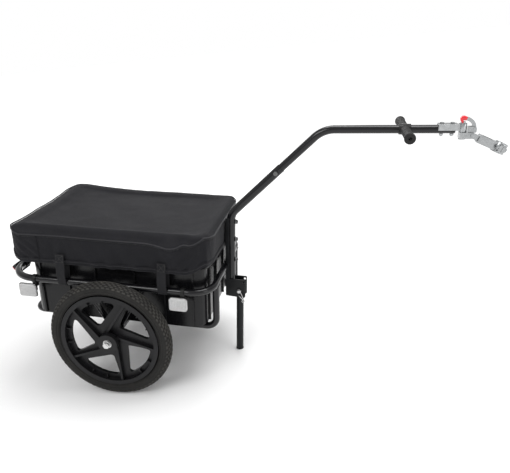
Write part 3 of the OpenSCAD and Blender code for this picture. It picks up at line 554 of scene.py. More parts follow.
def make_trees():
    g, i, o = node_tree("Around an axis", [("Count", "NodeSocketInt", 12), ("Centre", VECTOR, None),
                                           ("Axis", VECTOR, (0, 1, 0)), ("Turn", FLOAT, math.tau),
                                           ("Material", "NodeSocketMaterial", None)])
    line = g.add("GeometryNodeMeshLine", {"Count": i["Count"], "Offset": (0, 0, 0)})
    index = g.add("GeometryNodeInputIndex").outputs[0]
    step = g.math("DIVIDE", i["Turn"], i["Count"])
    angle = g.math("MULTIPLY", index, step)
    moved = g.add("GeometryNodeSetPosition", {"Geometry": line.outputs[0], "Position": i["Centre"]})
    back = g.add("ShaderNodeVectorMath", {0: i["Centre"], "Scale": -1.0}, operation="SCALE")
    unit = g.add("GeometryNodeTransform", {"Geometry": i["Geometry"], "Translation": back.outputs[0]})
    spin = g.add("FunctionNodeAxisAngleToRotation", {"Axis": i["Axis"], "Angle": angle})
    put = g.add("GeometryNodeInstanceOnPoints", {"Points": moved.outputs[0], "Instance": unit.outputs[0],
                                                 "Rotation": spin.outputs[0]})
    finish_tree(g, put.outputs[0], i["Material"], o)
    TREES["around"] = g.tree

    g, i, o = node_tree("Stitches along a path", [("Pitch", FLOAT, 0.004), ("Thread", FLOAT, 0.0005),
                                                  ("Length", FLOAT, 0.0028),
                                                  ("Material", "NodeSocketMaterial", None)])
    path = g.add("GeometryNodeMeshToCurve", {"Mesh": i["Geometry"]})
    points = g.add("GeometryNodeCurveToPoints", {"Curve": path.outputs[0], "Length": i["Pitch"]},
                   mode="LENGTH")
    dot = g.add("GeometryNodeMeshCylinder", {"Vertices": 6, "Side Segments": 1, "Radius": i["Thread"],
                                             "Depth": i["Length"]})
    turn = g.add("FunctionNodeAlignRotationToVector", {"Vector": points.outputs["Tangent"]}, axis="Z")
    put = g.add("GeometryNodeInstanceOnPoints", {"Points": points.outputs["Points"],
                                                 "Instance": dot.outputs["Mesh"],
                                                 "Rotation": turn.outputs[0]})
    finish_tree(g, put.outputs[0], i["Material"], o)
    TREES["stitch"] = g.tree


def grown(obj, tree, mat, **values):
    """Runs a node tree on an object and keeps the result as its mesh."""
    mod = obj.modifiers.new("Repeat", "NODES")
    mod.node_group = TREES[tree]
    ids = {s.name: s.identifier for s in TREES[tree].interface.items_tree if s.in_out == "INPUT"}
    for key, value in {"Material": MATERIALS[mat], **values}.items():
        mod[ids[key]] = value
    baked(obj)
    obj.data.materials.clear()
    obj.data.materials.append(MATERIALS[mat])
    return obj


def path_piece(name, paths, closed=False):
    """An object of bare edges, for a node tree to follow."""
    bm = bmesh.new()
    for points in paths:
        verts = [bm.verts.new(p) for p in points]
        for a, b in zip(verts, verts[1:]):
            bm.edges.new((a, b))
        if closed:
            bm.edges.new((verts[-1], verts[0]))
    return bare(name, bm)


# ---- cover ---------------------------------------------------------------

def square_to_round(x, y, hx, hy, r):
    """Moves a point of a rectangle so that the rectangle's corners become arcs."""
    px, py = abs(x) - (hx - r), abs(y) - (hy - r)
    if px > 0 and py > 0:
        u, v = px / r, py / r
        px, py = r * u * math.sqrt(1 - v * v / 2), r * v * math.sqrt(1 - u * u / 2)
        x = math.copysign(hx - r + px, x)
        y = math.copysign(hy - r + py, y)
    return x, y


def cover_mesh(s):
    """The cover before it falls: a flat top panel with straight sides."""
    lo_y, hi_y = CRATE_LO.y - s.overhang, CRATE_HI.y + 0.010
    hx, hy = CRATE_HX + 0.027, (hi_y - lo_y) / 2
    mid = Vector((AX - 0.007, (lo_y + hi_y) / 2, CRATE_HI.z + 0.004))
    corners = {(1, -1): 0.085, (-1, -1): 0.050, (1, 1): 0.048, (-1, 1): 0.062}
    nx, ny = round(2 * hx / s.cell), round(2 * hy / s.cell)
    bm = bmesh.new()
    uv = bm.loops.layers.uv.new("flat")
    grid = {}
    for i in range(nx + 1):
        for j in range(ny + 1):
            x, y = (2 * i / nx - 1) * hx, (2 * j / ny - 1) * hy
            r = corners[(1 if x > 0 else -1, 1 if y > 0 else -1)]
            x, y = square_to_round(x, y, hx, hy, r)
            over = max(0.0, CRATE_LO.y - 0.001 - (mid.y + y)) + 0.3 * max(0.0, abs(x) - hx + 0.026)
            grid[i, j] = bm.verts.new(mid + Vector((x, y, -0.85 * over)))
    for i in range(nx):
        for j in range(ny):
            f = bm.faces.new([grid[i, j], grid[i + 1, j], grid[i + 1, j + 1], grid[i, j + 1]])
            for loop in f.loops:
                loop[uv].uv = (loop.vert.co.x, loop.vert.co.y)
    edge = ([grid[i, 0] for i in range(nx)] + [grid[nx, j] for j in range(ny)]
            + [grid[i, ny] for i in range(nx, 0, -1)] + [grid[0, j] for j in range(ny, 0, -1)])
    rows = round(s.skirt / s.cell)
    count = len(edge)
    above, loops = edge, [edge]
    for k in range(1, rows + 1):
        depth = k / rows
        row = []
        for q, v in enumerate(edge):
            out = Vector((v.co.x - mid.x, v.co.y - mid.y, 0)).normalized()
            wave = noise.noise(Vector((v.co.x * 9, v.co.y * 9, 3.7))) * 0.020 * depth
            row.append(bm.verts.new(v.co + out * (0.001 + wave) + Vector((0, 0, -s.skirt * depth))))
        for q in range(count):
            n = (q + 1) % count
            f = bm.faces.new([above[q], row[q], row[n], above[n]])
            run = q * s.cell
            for loop, (u, w) in zip(f.loops, [(run, k - 1), (run, k), (run + s.cell, k),
                                              (run + s.cell, k - 1)]):
                loop[uv].uv = (u, -w * s.cell)
        above = row
        loops.append(row)
    bm.verts.index_update()
    seam = [v.index for v in edge]
    hem = [v.index for v in above]
    return bm, seam, hem, rows, (2 * hx, 2 * hy)


def collider(name, bm):
    obj = bare(name, bm)
    mod = obj.modifiers.new("Collision", "COLLISION")
    obj.collision.thickness_outer = 0.003
    obj.collision.cloth_friction = 30
    mod.show_render = True
    return obj


def crate_block():
    """A plain stand-in for the crate that the cloth lies on while it falls."""
    bm = bmesh.new()
    r = 0.030
    hx, hy = CRATE_HX, CRATE_HY
    ring = []
    for sx, sy in ((1, 1), (-1, 1), (-1, -1), (1, -1)):
        for k in range(5):
            a = math.atan2(sy, sx) + math.radians(-45 + 22.5 * k)
            ring.append((sx * (hx - r) + math.cos(a) * r, sy * (hy - r) + math.sin(a) * r))
    levels = [(CRATE_HI.z - 0.15, 0.0), (CRATE_HI.z - 0.004, 0.0), (CRATE_HI.z - 0.001, 0.002),
              (CRATE_HI.z, 0.005)]
    rows = [[bm.verts.new((AX + x * (1 - i / hx), y * (1 - i / hy), z)) for x, y in ring]
            for z, i in levels]
    inner = [bm.verts.new((AX + x * 0.955, y * 0.94, CRATE_HI.z - 0.001)) for x, y in ring]
    low = [bm.verts.new((AX + x * 0.95, y * 0.93, CRATE_HI.z - 0.010)) for x, y in ring]
    skin(bm, rows + [inner, low])
    bm.faces.new(low)
    return collider("crate_block", bm)


def fall(obj, pins, frames):
    """Lets the cover settle on the crate, held a little at its straps."""
    group = obj.vertex_groups.new(name="held")
    for index, weight in pins.items():
        group.add([index], weight, "REPLACE")
    mod = obj.modifiers.new("Cloth", "CLOTH")
    c = mod.settings
    c.quality, c.mass, c.air_damping = 7, 0.35, 2.5
    c.tension_stiffness = c.compression_stiffness = 22
    c.shear_stiffness, c.bending_stiffness = 9, 0.9
    c.tension_damping = c.compression_damping = c.shear_damping = 8
    c.vertex_group_mass = "held"
    c.pin_stiffness = 1.2
    mod.collision_settings.distance_min = 0.0025
    mod.collision_settings.collision_quality = 3
    scene = bpy.context.scene
    mod.point_cache.frame_start, mod.point_cache.frame_end = 1, frames
    for frame_number in range(1, frames + 1):
        scene.frame_set(frame_number)
    baked(obj)
    scene.frame_set(1)


COVER = {}


def hump(x, centre, width):
    return math.exp(-((x - centre) / width) ** 2)


def rumpled(p, normal):
    """A point of the settled cover with its creases: a raised rear corner, a nip in each long seam
    near the front, and slanting folds in the sides by the corners."""
    rim, x, side = CRATE_HI.z, p.x - AX, math.copysign(1, p.y)
    out = Vector((0, side, 0)) * (1.0 if abs(p.y) > CRATE_HI.y - 0.004 else 0.0)
    q = p + normal * (noise.noise(p * 9.0) * 0.0020 + noise.noise(p * 27.0) * 0.0008)
    if p.z > rim - 0.02:
        q.z += 0.011 * hump(x, -0.29, 0.10) * hump(p.y, 0.19, 0.09)
        q.z += 0.0024 * math.sin(30 * x + 24 * p.y) * hump(x, -0.02, 0.24) * hump(p.y, -0.05, 0.13)
    seam = rim - 0.024
    q.z -= 0.010 * hump(x, 0.190, 0.045) * hump(p.z, seam, 0.022) * hump(p.y, -0.214, 0.05)
    q.z += 0.007 * hump(x, 0.238, 0.014) * hump(p.z, seam, 0.022) * hump(p.y, -0.214, 0.05)
    q += out * (0.009 * hump(x, 0.196, 0.024) * hump(p.z, seam - 0.006, 0.018)
                - 0.008 * hump(x, 0.232, 0.016) * hump(p.z, seam - 0.014, 0.026))
    for at, tall, slant in ((-0.262, rim - 0.072, 1.1), (0.236, rim - 0.074, -0.9)):
        wave = math.sin((x - at + slant * (p.z - tall)) * math.tau / 0.034)
        q += out * 0.0058 * wave * hump(x, at, 0.036) * hump(p.z, tall, 0.032)
    for at in (-0.05, 0.09):
        wave = math.sin((x - at + 0.5 * (p.z - rim)) * math.tau / 0.075)
        q += out * 0.0030 * wave * hump(x, at, 0.075) * hump(p.z, rim - 0.090, 0.034)
    return q


class TRAILER_OT_cover(bpy.types.Operator):
    """The fabric cover, its piping, hem and seams"""
    bl_idname = "trailer.cover"
    bl_label = "Cover"

    def execute(self, context):
        s = context.scene.trailer_cover
        bm, seam, hem, rows, (wide, deep) = cover_mesh(s)
        obj = piece("cover_cloth", bm, "cover_fabric")
        place = [v.co.copy() for v in obj.data.vertices]
        pins = {}
        for index in hem:
            p = place[index]
            if abs(p.y) > 0.15 and any(abs(p.x - x) < 0.016 for x in STRAP_X):
                pins[index] = 0.8
        pins.update({index: 0.55 for index in seam})
        block = crate_block()
        fall(obj, pins, s.frames)
        bpy.data.objects.remove(block)
        for v in obj.data.vertices:
            v.co = rumpled(v.co, v.normal)
        line = [v.co.copy() for v in obj.data.vertices]
        COVER["seam"] = [line[k] for k in seam]
        COVER["hem"] = [line[k] for k in hem]
        COVER["surface"] = line
        sub = obj.modifiers.new("Smooth", "SUBSURF")
        sub.levels = sub.render_levels = 1
        thick = obj.modifiers.new("Fabric", "SOLIDIFY")
        thick.thickness, thick.offset = s.thickness, 0.0
        baked(obj)
        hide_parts("cover")
        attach(obj, "cover")

        middle_x, middle_y = AX, sum(p.y for p in COVER["seam"]) / len(COVER["seam"])

        def outside(p, by, up=0.0):
            d = Vector((p.x - middle_x, p.y - middle_y, 0)).normalized()
            return p + d * by + Vector((0, 0, up))

        bm = bmesh.new()
        tube(bm, [outside(p, 0.0016, 0.0005) for p in COVER["seam"]], 0.0022, 8, closed=True)
        outward(bm)
        # the piping takes the lighter fabric: a painted highlight along the seam
        piping = piece("cover_piping", bm, "cover_binding", "cover")
        bm = bmesh.new()
        uv = bm.loops.layers.uv.new("flat")
        points = [outside(p, 0.0006, 0.004) for p in COVER["hem"]]
        run = 0.0
        profile = [(0.0013, 0.0115), (0.0022, 0.0060), (0.0020, -0.0040), (0.0, -0.0062),
                   (-0.0018, -0.0040), (-0.0018, 0.0100)]
        strips = [[bm.verts.new(outside(p, r, h)) for r, h in profile] for p in points]
        for k in range(len(strips)):
            a, b = strips[k], strips[(k + 1) % len(strips)]
            step = (points[(k + 1) % len(points)] - points[k]).length
            for q in range(len(profile)):
                n = (q + 1) % len(profile)
                f = bm.faces.new([a[q], a[n], b[n], b[q]])
                for loop, (u, v) in zip(f.loops, [(run, q), (run, q + 1), (run + step, q + 1),
                                                  (run + step, q)]):
                    loop[uv].uv = (u, v * 0.006)
            run += step
        outward(bm)
        hem_piece = piece("cover_hem", bm, "cover_fabric", "cover")
        stitches = path_piece("cover_stitches", [
            [outside(p, 0.0029, 0.0085) for p in COVER["hem"]],
            [outside(p, 0.0012, -0.0050) for p in COVER["seam"]]], closed=True)
        grown(stitches, "stitch", "thread", Pitch=0.0055, Thread=0.00045, Length=0.0034)
        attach(stitches, "cover")
        bm = bmesh.new()
        for side in (-1, 1):
            x = AX - 0.232
            low = min(p.z for p in COVER["hem"] if p.y * side > 0.1 and abs(p.x - x) < 0.03) + 0.004
            high = max(p.z for p in COVER["seam"] if p.y * side > 0.1 and abs(p.x - x) < 0.03) - 0.002
            run = [Vector((x, side * (cloth_y(side, x, z) + 0.0006), z))
                   for z in (low + (high - low) * k / 12 for k in range(13))]
            tube(bm, run, 0.0012, 6)
        outward(bm)
        side_seams = piece("cover_side_seams", bm, "cover_fabric", "cover")
        return {"FINISHED"}


def cloth_y(side, x, z):
    """How far out the cover's side reaches near a place, for a strap to lie on."""
    near = [abs(p.y) for p in COVER["surface"]
            if p.y * side > 0.1 and abs(p.x - x) < 0.018 and abs(p.z - z) < 0.012]
    return max(near) if near else CRATE_HI.y + 0.014


class TRAILER_OT_straps(bpy.types.Operator):
    """Four webbing straps, sewn to the cover and looped under the hoop"""
    bl_idname = "trailer.straps"
    bl_label = "Straps"

    def execute(self, context):
        wide, thick, box_inset = 0.029, 0.0016, 0.0035
        loop_r = TUBE_R + 0.0014          # the webbing's middle, round the hoop
        for side, name in ((-1, "right"), (1, "left")):
            bm = bmesh.new()
            uv = bm.loops.layers.uv.new("flat")
            paths = []
            for x in STRAP_X:
                hem_z = min(p.z for p in COVER["surface"]
                            if p.y * side > 0.1 and abs(p.x - x) < 0.02)
                hoop = Vector((x, side * HOOP_Y, HOOP_Z))
                top = hem_z + 0.034
                points = []
                for k in range(5):
                    z = top - (top - hem_z + 0.004) * k / 4
                    points.append(Vector((x, side * (cloth_y(side, x, z) + 0.0036), z)))
                start = points[-1]
                outer = Vector((x, side * (HOOP_Y + loop_r), HOOP_Z + 0.004))
                for k in range(1, 6):
                    t = k / 6
                    bulge = math.sin(math.pi * t) * 0.004
                    p = start.lerp(outer, t)
                    points.append(p + Vector((0, side * bulge, 0)))
                for k in range(13):
                    a = math.pi * k / 12
                    points.append(hoop + Vector((0, side * math.cos(a) * loop_r,
                                                 -math.sin(a) * loop_r)))
                inner_end = Vector((x, side * (CRATE_HI.y + 0.003), hem_z + 0.012))
                last = points[-1]
                for k in range(1, 8):
                    t = k / 7
                    p = last.lerp(inner_end, t)
                    points.append(p + Vector((0, -side * math.sin(math.pi * t) * 0.0015, 0)))
                flip = 1 if side < 0 else -1
                band(bm, points, Vector((flip, 0, 0)), wide, thick, uv)
                # a sewn box with a cross in it
                a, b = x - wide / 2 + box_inset, x + wide / 2 - box_inset
                up, down = top - 0.003, top - 0.026
                for run in ([(a, up), (b, up), (b, down), (a, down), (a, up), (b, down)],
                            [(b, up), (a, down)]):
                    dense = []
                    for (x0, z0), (x1, z1) in zip(run, run[1:]):
                        for q in range(10):
                            t = q / 10
                            dense.append((x0 + (x1 - x0) * t, z0 + (z1 - z0) * t))
                    dense.append(run[-1])
                    paths.append([Vector((px, side * (cloth_y(side, x, pz) + 0.0047), pz))
                                  for px, pz in dense])
            bmesh.ops.recalc_face_normals(bm, faces=bm.faces)
            strap = piece(f"{name}_webbing", bm, "webbing", sharp=40)
            bev = strap.modifiers.new("Edge", "BEVEL")
            bev.width, bev.segments = 0.0005, 1
            baked(strap)
            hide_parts(f"{name}_straps")
            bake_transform(strap)
            seams = grown(path_piece(f"{name}_strap_stitches", paths), "stitch", "thread",
                          Pitch=0.0030, Thread=0.00045, Length=0.0021)
            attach(seams, "cover")
        return {"FINISHED"}


# ---- wheels --------------------------------------------------------------

OVAL = 0.97         # a casing's height over its width


def tyre_profile(mid, radius, wall):
    """Closed section of a tyre as (radius from the axle, place along it)."""
    outer, inner = [], []
    for k in range(25):
        a = math.radians(-148 + 296 * k / 24)
        outer.append((mid + radius * math.cos(a) * OVAL, radius * math.sin(a)))
        inner.append((mid + (radius - wall) * math.cos(a) * OVAL, (radius - wall) * math.sin(a)))
    return outer + list(reversed(inner))


class TRAILER_OT_tyres(bpy.types.Operator):
    """Tyres with a blocked tread, a mould line and a bead line"""
    bl_idname = "trailer.tyres"
    bl_label = "Tyres"

    def execute(self, context):
        s = context.scene.trailer_tread
        lo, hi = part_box("right_tyre")
        radius = (hi.y - lo.y) / 2
        mid = WHEEL_R - radius
        casing_r = radius - s.height
        for side, name in ((-1, "right"), (1, "left")):
            centre = Vector((AX, side * abs(AXLE.y), AXLE.z))
            axis = Vector((0, 1, 0))
            bm = bmesh.new()
            lathe(bm, tyre_profile(mid, casing_r, 0.003), centre, axis, Vector((0, 0, 1)), 120)
            for sy in (-1, 1):
                for a_deg, r in ((96, 0.0011), (118, 0.0009), (131, 0.0013)):
                    a = math.radians(a_deg)
                    ring_r = mid + casing_r * math.cos(a) * OVAL
                    along = sy * casing_r * math.sin(a)
                    ring = [centre + Vector((math.sin(t) * ring_r, along, math.cos(t) * ring_r))
                            for t in (math.tau * k / 120 for k in range(120))]
                    tube(bm, ring, r, 6, closed=True)
            bmesh.ops.recalc_face_normals(bm, faces=bm.faces)
            tyre = piece(f"{name}_tyre_casing", bm, "tyre_rubber", f"{name}_wheel")
            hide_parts(f"{name}_tyre")

            bm = bmesh.new()
            w = math.tau * WHEEL_R / s.pitches

            def block(corners, height):
                """One tread block from corners of (across, along) in metres."""
                rows = []
                for lift, shrink in ((-0.0006, 1.0), (height * 0.8, 0.93), (height, 0.80)):
                    cx = sum(c[0] for c in corners) / len(corners)
                    cy = sum(c[1] for c in corners) / len(corners)
                    row = []
                    for c in corners:
                        u = cx + (c[0] - cx) * shrink
                        v = cy + (c[1] - cy) * shrink
                        a = u / casing_r
                        oval = OVAL + (1 - OVAL) * math.cos(a)
                        r = mid + (casing_r + lift) * math.cos(a) * oval
                        t = v / WHEEL_R
                        row.append(bm.verts.new(centre + Vector((
                            math.sin(t) * r, (casing_r + lift) * math.sin(a), math.cos(t) * r))))
                    rows.append(row)
                skin(bm, rows)
                bm.faces.new(rows[-1])
                bm.faces.new(list(reversed(rows[0])))

            for m in (-1, 1):
                for row, (inner, outer, lean, tall) in enumerate((
                        (0.0009, 0.0056, 0.30, 1.0), (0.0068, 0.0112, 0.24, 1.0),
                        (0.0124, 0.0166, 0.20, 0.95), (0.0178, 0.0232, 0.10, 0.8))):
                    base = (0.03 + 0.5 * (row % 2) + 0.25 * (m + 1)) * w
                    block([(m * inner, base), (m * outer, base + lean * w),
                           (m * outer, base + (lean + 0.62) * w), (m * inner, base + 0.62 * w)],
                          s.height * tall)
            bmesh.ops.recalc_face_normals(bm, faces=bm.faces)
            tread = piece(f"{name}_tread", bm, "tread_rubber", smooth=False)
            grown(tread, "around", "tread_rubber", Count=s.pitches, Centre=centre, Axis=axis)
            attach(tread, f"{name}_wheel")

            stem_lo, stem_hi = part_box(f"{name}_valve")
            stem = (stem_lo + stem_hi) / 2
            out = (centre - Vector((stem.x, centre.y, stem.z))).normalized()
            tip = Vector((stem.x, centre.y, stem.z)) + out * 0.019
            bm = bmesh.new()
            profile = [(0.0001, 0.0), (0.0042, 0.0), (0.0044, 0.006), (0.0038, 0.0085), (0.0036, 0.015),
                       (0.0022, 0.017), (0.0001, 0.0172)]
            lathe(bm, profile, tip - out * 0.006, out, Vector((0, 1, 0)), 16)
            outward(bm, 2e-4)
            piece(f"{name}_valve_cap", bm, "black_plastic", f"{name}_wheel")
            soften(NODES[f"{name}_rim"], 0.0012, 30, 2)
        return {"FINISHED"}


# ---- grips, clip, reflectors, welds --------------------------------------

class TRAILER_OT_grips(bpy.types.Operator):
    """Two ribbed rubber grips on the T handle"""
    bl_idname = "trailer.grips"
    bl_label = "Grips"

    def execute(self, context):
        for side, name in ((-1, "right"), (1, "left")):
            lo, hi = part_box(f"{name}_grip")
            centre = (lo + hi) / 2
            r_flange = (hi.z - lo.z) / 2 - 0.0012
            near, far = (hi.y, lo.y) if side < 0 else (lo.y, hi.y)
            run = abs(far - near)
            r0, bore = r_flange - 0.0022, TUBE_R + 0.0001
            profile = [(bore, 0.0), (r_flange - 0.0015, 0.0), (r_flange - 0.0005, 0.0008),
                       (r_flange - 0.0005, 0.0038), (r_flange - 0.0018, 0.0052), (r0, 0.0075)]
            at = 0.0105         # the ribs, between the two flanges
            while at < run - 0.020:
                profile += [(r0, at), (r0 - 0.0010, at + 0.0008), (r0 - 0.0010, at + 0.0016),
                            (r0, at + 0.0024)]
                at += 0.0062
            profile += [(r0, run - 0.0120), (r0 + 0.0008, run - 0.0090),
                        (r_flange - 0.0004, run - 0.0062),
                        (r_flange, run - 0.0040), (r_flange - 0.0006, run - 0.0014),
                        (r_flange - 0.0030, run), (0.0065, run), (0.0050, run - 0.0008),
                        (0.0036, run - 0.0030), (0.0034, run - 0.0042), (bore, run - 0.0042)]
            bm = bmesh.new()
            lathe(bm, profile, Vector((centre.x, near, centre.z)), Vector((0, side, 0)),
                  Vector((0, 0, 1)), 40)
            outward(bm)
            grip = piece(f"{name}_handle_grip", bm, "grip_rubber", "frame", sharp=50)
            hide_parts(f"{name}_grip")
        return {"FINISHED"}


class TRAILER_OT_hook_cap(bpy.types.Operator):
    """The moulded red cap that folds over the end of the lock hook"""
    bl_idname = "trailer.hook_cap"
    bl_label = "Hook cap"

    def execute(self, context):
        centre = middle("hook_cap")
        # along the strap: place from the middle of the cap, half thickness, half width
        run = [(0.0080, -0.0005, 0.0052, 0.0060), (0.0050, 0.0008, 0.0060, 0.0066),
               (0.0010, 0.0020, 0.0062, 0.0070), (-0.0030, 0.0018, 0.0058, 0.0071),
               (-0.0052, -0.0012, 0.0050, 0.0070), (-0.0046, -0.0048, 0.0042, 0.0067),
               (-0.0028, -0.0085, 0.0034, 0.0063), (-0.0004, -0.0122, 0.0026, 0.0058)]
        points = [centre + Vector((x, 0, z)) for x, z, _, _ in run]
        sides = 20
        bm = bmesh.new()
        rings = []
        across = Vector((0, 1, 0))
        for k, (p, (_, _, thick, wide)) in enumerate(zip(points, run)):
            ahead = points[min(k + 1, len(points) - 1)] - points[max(k - 1, 0)]
            away = ahead.cross(across).normalized()
            turns = [(math.cos(math.tau * q / sides), math.sin(math.tau * q / sides))
                     for q in range(sides)]
            rings.append([bm.verts.new(p + across * wide * math.copysign(abs(c) ** 0.45, c)
                                       + away * thick * math.copysign(abs(d) ** 0.45, d))
                          for c, d in turns])
        skin(bm, rings)
        bm.faces.new(rings[0])
        bm.faces.new(rings[-1])
        outward(bm)
        cap = piece("hook_cap_moulding", bm, "red_plastic", "lock_hook", sharp=50)
        mod = cap.modifiers.new("Round", "BEVEL")
        mod.width, mod.segments, mod.limit_method = 0.0007, 3, "ANGLE"
        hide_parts("hook_cap")
        return {"FINISHED"}


class TRAILER_OT_clip(bpy.types.Operator):
    """The spring clip through the stand's hinge pin, with its loop hanging down"""
    bl_idname = "trailer.clip"
    bl_label = "Spring clip"

    def execute(self, context):
        hole = middle("stand_pin")
        hole.y = middle("stand_pin_clip").y
        wire_r, eye_r, bend_r = 0.00115, 0.0061, 0.0045
        lean = math.radians(23)
        down = Vector((math.sin(lean), 0, -math.cos(lean)))
        side = Vector((math.cos(lean), 0, math.sin(lean)))
        points = []
        for k in range(25):
            a = math.radians(95 + 335 * k / 24)
            points.append(hole + side * math.cos(a) * eye_r - down * math.sin(a) * eye_r)
        knee = hole + down * 0.036
        points += [hole + side * 0.0054 + down * 0.008, hole + side * 0.0036 + down * 0.018,
                   hole + side * 0.0040 + down * 0.028]
        for k in range(15):
            a = math.radians(290 * k / 14)
            points.append(knee + down * 0.003 + side * math.cos(a) * bend_r
                          + down * math.sin(a) * bend_r)
        points += [knee - side * 0.0006 - down * 0.006, knee - side * 0.004 - down * 0.016,
                   knee - side * 0.0065 - down * 0.024]
        bm = bmesh.new()
        smooth = []
        for k, p in enumerate(points):
            a, b = points[max(k - 1, 0)], points[min(k + 1, len(points) - 1)]
            smooth.append(p * 0.5 + (a + b) * 0.25)
        dense = []
        for a, b in zip(smooth, smooth[1:]):
            dense += [a, a.lerp(b, 0.5)]
        dense.append(smooth[-1])
        tube(bm, dense, wire_r, 10)
        outward(bm)
        clip = piece("spring_clip", bm, "bright_steel", "stand_pin")
        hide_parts("stand_pin_clip")
        return {"FINISHED"}


def reflector_lens(bm, centre, right, up, out, w, h, depth, ribs):
    """A rounded lens whose face is fluted by ribs that run up it."""
    n_x, n_y = ribs * 4, 14
    corner_r, lip, flute_deep = 0.0100, 0.0035, 0.0017
    grid = {}
    for i in range(n_x + 1):
        for j in range(n_y + 1):
            x, y = square_to_round((2 * i / n_x - 1) * w / 2, (2 * j / n_y - 1) * h / 2,
                                   w / 2, h / 2, corner_r)
            edge = min(w / 2 - abs(x), h / 2 - abs(y))
            crown = depth - 0.0016 * max(0.0, 1 - edge / lip) ** 2
            flute = flute_deep * abs(math.sin(math.pi * (i / 4))) if edge > lip else 0.0
            grid[i, j] = bm.verts.new(centre + right * x + up * y + out * (crown - flute))
    for i in range(n_x):
        for j in range(n_y):
            bm.faces.new([grid[i, j], grid[i + 1, j], grid[i + 1, j + 1], grid[i, j + 1]])
    rim = ([grid[i, 0] for i in range(n_x)] + [grid[n_x, j] for j in range(n_y)]
           + [grid[i, n_y] for i in range(n_x, 0, -1)] + [grid[0, j] for j in range(n_y, 0, -1)])
    back = []
    for v in rim:
        d = (v.co - centre).dot(out)
        back.append(bm.verts.new(v.co - out * d))
    for k in range(len(rim)):
        q = (k + 1) % len(rim)
        bm.faces.new([rim[k], back[k], back[q], rim[q]])
    bm.faces.new(list(reversed(back)))


class TRAILER_OT_reflectors(bpy.types.Operator):
    """Fluted lenses for the side reflectors, before and behind the axle on each side"""
    bl_idname = "trailer.reflectors"
    bl_label = "Reflectors"

    def execute(self, context):
        verts = [v.co for v in NODES["reflector_lenses"].data.vertices]
        bm = bmesh.new()
        for side in (-1, 1):
            for front in (False, True):
                part = [v for v in verts if v.y * side > 0 and (v.x > AX) == front]
                a = Vector((min(v.x for v in part), min(v.y for v in part), min(v.z for v in part)))
                b = Vector((max(v.x for v in part), max(v.y for v in part), max(v.z for v in part)))
                out = Vector((0, side, 0))
                face = (a + b) / 2
                face.y = a.y if side > 0 else b.y
                reflector_lens(bm, face, Vector((-side, 0, 0)), Vector((0, 0, 1)), out,
                               b.x - a.x, b.z - a.z, b.y - a.y, 12)
        bmesh.ops.recalc_face_normals(bm, faces=bm.faces)
        lenses = piece("side_lenses", bm, "clear_reflector", "frame", sharp=60)
        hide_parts("reflector_lenses")
        return {"FINISHED"}


def saddle(centre, big, small, big_r, small_r, count=40):
    """The line where a small tube meets a big one; both directions point outwards from centre."""
    big, small = big.normalized(), small.normalized()
    across = big.cross(small).normalized()
    along = across.cross(small)
    points = []
    for k in range(count):
        a = math.tau * k / count
        u, v = math.cos(a) * small_r, math.sin(a) * small_r
        # a point of the small tube's wall, pushed along it until it is big_r from the big axis
        base = across * u + along * v
        d2 = small - big * small.dot(big)
        b2 = base - big * base.dot(big)
        A, B, C = d2.length_squared, 2 * d2.dot(b2), b2.length_squared - big_r * big_r
        root = B * B - 4 * A * C
        t = (-B + math.sqrt(max(root, 0))) / (2 * A)
        points.append(centre + base + small * t)
    return points


class TRAILER_OT_welds(bpy.types.Operator):
    """Weld beads where the frame's tubes meet"""
    bl_idname = "trailer.welds"
    bl_label = "Welds"

    def execute(self, context):
        bm = bmesh.new()
        rng = random.Random(4)

        def bead(points, r=0.0019):
            n = len(points)
            ripple = [r * (1 + 0.16 * math.sin(k * math.tau / 2.5) + rng.uniform(-0.06, 0.06))
                      for k in range(n)]
            tube(bm, points, ripple, 8, closed=True)

        upright_y = 0.150           # the cradle's front uprights
        strut_r, on_hoop = 0.009, TUBE_R + 0.0002
        head_x = 0.098              # how far before and behind the axle a strut meets the hoop
        foot_x, foot_z = 0.019, 0.234               # where it meets the axle's plate
        for side in (-1, 1):
            for s in (-1, 1):
                head = Vector((AX + s * head_x, side * HOOP_Y, HOOP_Z))
                foot = Vector((AX + s * foot_x, side * HOOP_Y, foot_z))
                bead(saddle(head, Vector((1, 0, 0)), foot - head, on_hoop, strut_r))
            top = Vector((HOOP_HI.x - TUBE_R, side * upright_y, HOOP_Z))
            bead(saddle(top, Vector((0, 1, 0)), Vector((0, 0, -1)), on_hoop, TUBE_R, 52), 0.0021)
        bmesh.ops.recalc_face_normals(bm, faces=bm.faces)
        piece("weld_beads", bm, "frame_paint", "frame")
        return {"FINISHED"}


class TRAILER_OT_edges(bpy.types.Operator):
    """Rounds the edges of the folded and cast steel parts and the moulded parts"""
    bl_idname = "trailer.edges"
    bl_label = "Edges"

    def execute(self, context):
        widths = {0.0008: ["stand_bracket", "mast_channel", "coupler_channel", "crate_stops",
                           "right_wheel_bracket", "left_wheel_bracket", "hitch_yoke", "clamp_body",
                           "clamp_jaw", "lock_hook", "swivel_eye", "handle_tee", "reflector_clamps",
                           "rear_reflector_clamp", "rear_reflector_body", "reflector_backs",
                           "stand_foot"],
                  0.0005: ["mast_nuts", "mast_bolts", "tow_joint_bolt", "coupler_bolts", "clamp_bolts",
                           "swivel_nut", "right_axle_bolt", "left_axle_bolt", "hook_pin", "pitch_pin",
                           "stand_pin", "axle_washers", "leg_washers", "hitch_pin"],
                  0.0010: ["crate"]}
        for width, names in widths.items():
            for name in names:
                soften(NODES[name], width, 40, 2)
        return {"FINISHED"}


# ---- stage ---------------------------------------------------------------

def area_light(name, place, target, size, power, tint=(1, 1, 1)):
    light = bpy.data.lights.new(name, "AREA")
    light.shape, light.size, light.size_y = "RECTANGLE", size[0], size[1]
    light.energy, light.color = power, tint
    obj = linked(name, light)
    obj.location = place
    obj.rotation_euler = (Vector(target) - Vector(place)).to_track_quat("-Z", "Y").to_euler()


